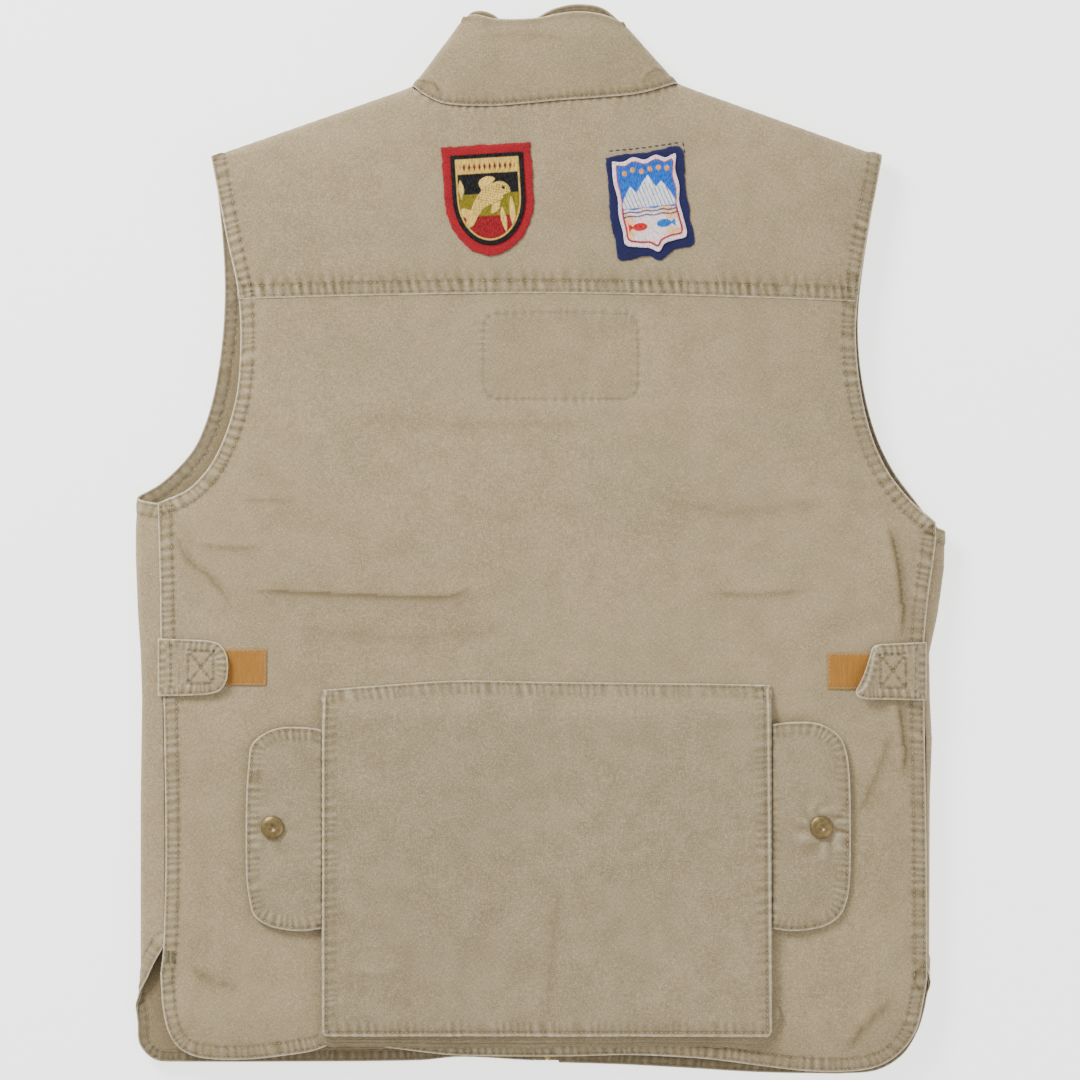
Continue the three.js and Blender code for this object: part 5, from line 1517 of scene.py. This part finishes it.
crest = Patch("crest_patch", (71.5, 235.5), 6.0)
NAVY = [(-29, 35), (-14, 36.5), (0, 36), (14, 37.5), (28, 37), (28.5, 10), (29.5, -12), (31, -29),
        (28, -33), (16, -34),
        (4, -40), (-4, -36), (-17, -37.5), (-27, -37), (-27.5, -26), (-30, -10), (-29, 12)]
WAVY = smooth([(-26, 32), (-17, 31), (-9, 33.5), (0, 31), (9, 33.5), (17, 31), (25, 33), (23.5, 22),
        (25.5, 10), (24, 0), (26, -12), (27, -25), (18, -27), (9, -29), (4, -34), (-3, -31), (-12, -29.5),
        (-22, -27), (-23, -18), (-25, -6), (-24.5, 6), (-26.5, 18), (-26, 32)], 1.0)
NARROWER = np.array([0.88, 1.0])
WAVY = WAVY * NARROWER
crest.felt((smooth([*NAVY, NAVY[0]], 1.5) * [0.94, 1.0])[:-1], NAVY_FELT, "crest_patch_felt")
INNER = smooth([(-22.5, 28.5), (-16, 27.5), (-9, 30), (0, 27.5), (9, 30), (16, 27.5), (21.5, 29),
        (20.3, 18), (22, 8), (21, -2), (22.7, -12), (23.5, -22), (15, -23.5), (7, -26), (3.5, -30),
        (-2, -27), (-11, -26), (-19, -23.5), (-20, -16), (-21.5, -6), (-21, 6), (-22.8, 18), (-22.5, 28.5)],
    1.0)
INNER = INNER * NARROWER
PEAKS = [(-20, -2), (-17, 5), (-12, 13), (-8, 8), (-4, 14), (1, 20), (6, 11), (10, 15), (15, 8), (20, -2)]
SNOW = [[(-14.5, 9), (-12, 13), (-9.6, 10), (-12, 10.5)],
        [(-3.2, 15), (1, 20), (4.4, 14), (2, 15.5), (0, 13.5), (-1.5, 15.5)],
        [(8, 13), (10, 15), (12.6, 11.5), (10, 12)]]


def crest_paint(q):
    x, y = q.T
    thread = 0.1 * noise(x, 6 * y, 1.2, 183)
    field = filled(q, INNER)
    line = smoothstep(1.0, 0.5, Line(INNER, 1, closed=True).near(q, 4)[0])
    sky = field * smoothstep(-3.2, -2.6, y + 0.6 * np.sin(x / 2.2))
    peaks = filled(q, PEAKS) * sky
    snow = sum(filled(q, part) for part in SNOW) * sky
    ridge = peaks * smoothstep(0.2, 0.5, np.abs(np.sin(1.15 * x + 0.35 * y)))
    dots = sky * (1 - peaks) * filled(q, oval(0, 0, 1, 1)) + sky * sum(
        filled(q, oval(cx, 23.5 + cy, 1.7, 1.9, 14)) for cx,
        cy in ((-15, -1), (-9, 1), (-3, -0.5), (3, 0.5), (9, 1), (15, 0)))
    waves = field * (1 - sky) * smoothstep(-9, -8.4, y) * smoothstep(0.1, 0.5,
        np.sin(2.2 * y + 0.9 * np.sin(x / 1.8)))
    fish = [filled(q, oval(cx, cy, 5.2, 2.9, 24)) + filled(q, [(cx - 4.2 * s, cy), (cx - 8 * s, cy + 3),
                (cx - 8 * s, cy - 3)]) for cx, cy, s in ((-8, -15.5, 1), (9, -14.5, -1))]
    rays = smoothstep(0.35, 0.6, np.abs(np.sin(2.6 * np.arctan2(y + 15, x))))
    sun = field * (1 - sky) * rays * smoothstep(9, 15, np.hypot(x, y + 15)) * 0.8
    return [
        ("thread_pink", np.ones(len(q)), 0.35 + thread),
        ("thread_rose", np.clip(line, 0, 1), 0.5 + thread),
        ("thread_sun", sun * (1 - line), 0.4 + thread),
        ("thread_blue", sky * (1 - peaks), 0.4 + thread),
        ("thread_navy", np.clip(peaks - 0.9 * ridge + waves * 0.9, 0, 1), 0.4 + thread),
        ("thread_white", np.clip(ridge * 0.85 + snow, 0, 1), 0.65 + thread),
        ("thread_orange", np.clip(dots, 0, 1), 0.75 + thread),
        ("thread_fish_red", np.clip(fish[0], 0, 1) * field, 0.7 + thread),
        ("thread_fish_blue", np.clip(fish[1], 0, 1) * field, 0.7 + thread),
    ]


crest.face(WAVY, [srgb(232, 210, 212), srgb(160, 24, 52), srgb(238, 178, 96), srgb(16, 92, 184),
        srgb(16, 26, 88), srgb(222, 230, 238), srgb(226, 146, 62), srgb(190, 34, 30), srgb(20, 104, 184)],
    crest_paint, "crest_patch_face", "embroidery_blue")

tack = Threads()
for k in range(9):  # the bar of thread that stops the left vent from tearing
    tack.row(back, [(-268.5, -287.6 - 1.0 * k), (-259.5, -288.4 - 1.0 * k)], pitch=4.4, length=4.1,
             thick=0.85, seed=190)
tack.make("vent_bar_tack", satin_thread("thread_olive", srgb(112, 104, 66)), "vest")

navy_threads = Threads()
for run in ([(43, 272.5), (60, 274), (78, 276.3), (95, 279)], [(95, 279), (96, 274.5), (96.5, 270)]):
    navy_threads.row(yoke, smooth(run), pitch=4.6, length=3.0, thick=0.8, seed=185, lift=0.15)
navy_threads.make("crest_tacking", NAVY_FELT, "vest", slot="felt_blue")

# ---------------------------------------------------------------- camera, light and floor

camera = bpy.data.objects.new("camera", bpy.data.cameras.new("camera"))
camera.data.sensor_width = 36
camera.data.lens = 36 * 2.972 / 0.756
camera.location = (-0.0049, 0, 3.0)
camera.data.clip_end = 20
bpy.context.scene.collection.objects.link(camera)
bpy.context.scene.camera = camera

look = Look("floor", 0.9, specular=0.1)
look.colour(look.mix(look.ramp(look.noise(3), 0.3, 0.7), (0.90, 0.90, 0.895), (0.92, 0.92, 0.915)))
look.shader.inputs["Emission Color"].default_value = (1, 1, 1, 1)
look.shader.inputs["Emission Strength"].default_value = 1.6
floor = piece("floor", [(-4000, -4000, 0), (4000, -4000, 0), (4000, 4000, 0), (-4000, 4000, 0)],
              [[0, 1, 2, 3]],
              look.material, None, flat=True)
tree = look.material.node_tree  # from below, the floor can be seen through
clear = node(tree, "ShaderNodeBsdfTransparent")
side = node(tree, "ShaderNodeNewGeometry")
both = node(tree, "ShaderNodeMixShader")
tree.links.new(side.outputs["Backfacing"], both.inputs[0])
tree.links.new(look.shader.outputs[0], both.inputs[1])
tree.links.new(clear.outputs[0], both.inputs[2])
tree.links.new(both.outputs[0], tree.nodes["Material Output"].inputs["Surface"])

world = bpy.data.worlds.new("world")
world.use_nodes = True
world.node_tree.nodes["Background"].inputs["Color"].default_value = (1, 1, 1, 1)
world.node_tree.nodes["Background"].inputs["Strength"].default_value = 0.95
bpy.context.scene.world = world
for name, place, size, power in (("key", (-1.3, 1.5, 1.4), 0.8, 75), ("fill", (1.4, -1.0, 1.8), 1.6, 14)):
    light = bpy.data.objects.new(name, bpy.data.lights.new(name, "AREA"))
    light.data.size, light.data.energy = size, power
    light.location = place
    light.rotation_euler = Vector(place).to_track_quat("Z", "Y").to_euler()
    bpy.context.scene.collection.objects.link(light)

for obj in bpy.data.objects:
    if "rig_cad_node" in obj and not obj.hide_render and obj.type == "MESH":
        obj.data.materials.clear()
        obj.data.materials.append(SNAP if "snap" in obj.name else ZIP)

vest_threads.make("stitching", THREAD, "vest")
dark_threads.make("stitching_inside", DARK_THREAD, "vest")
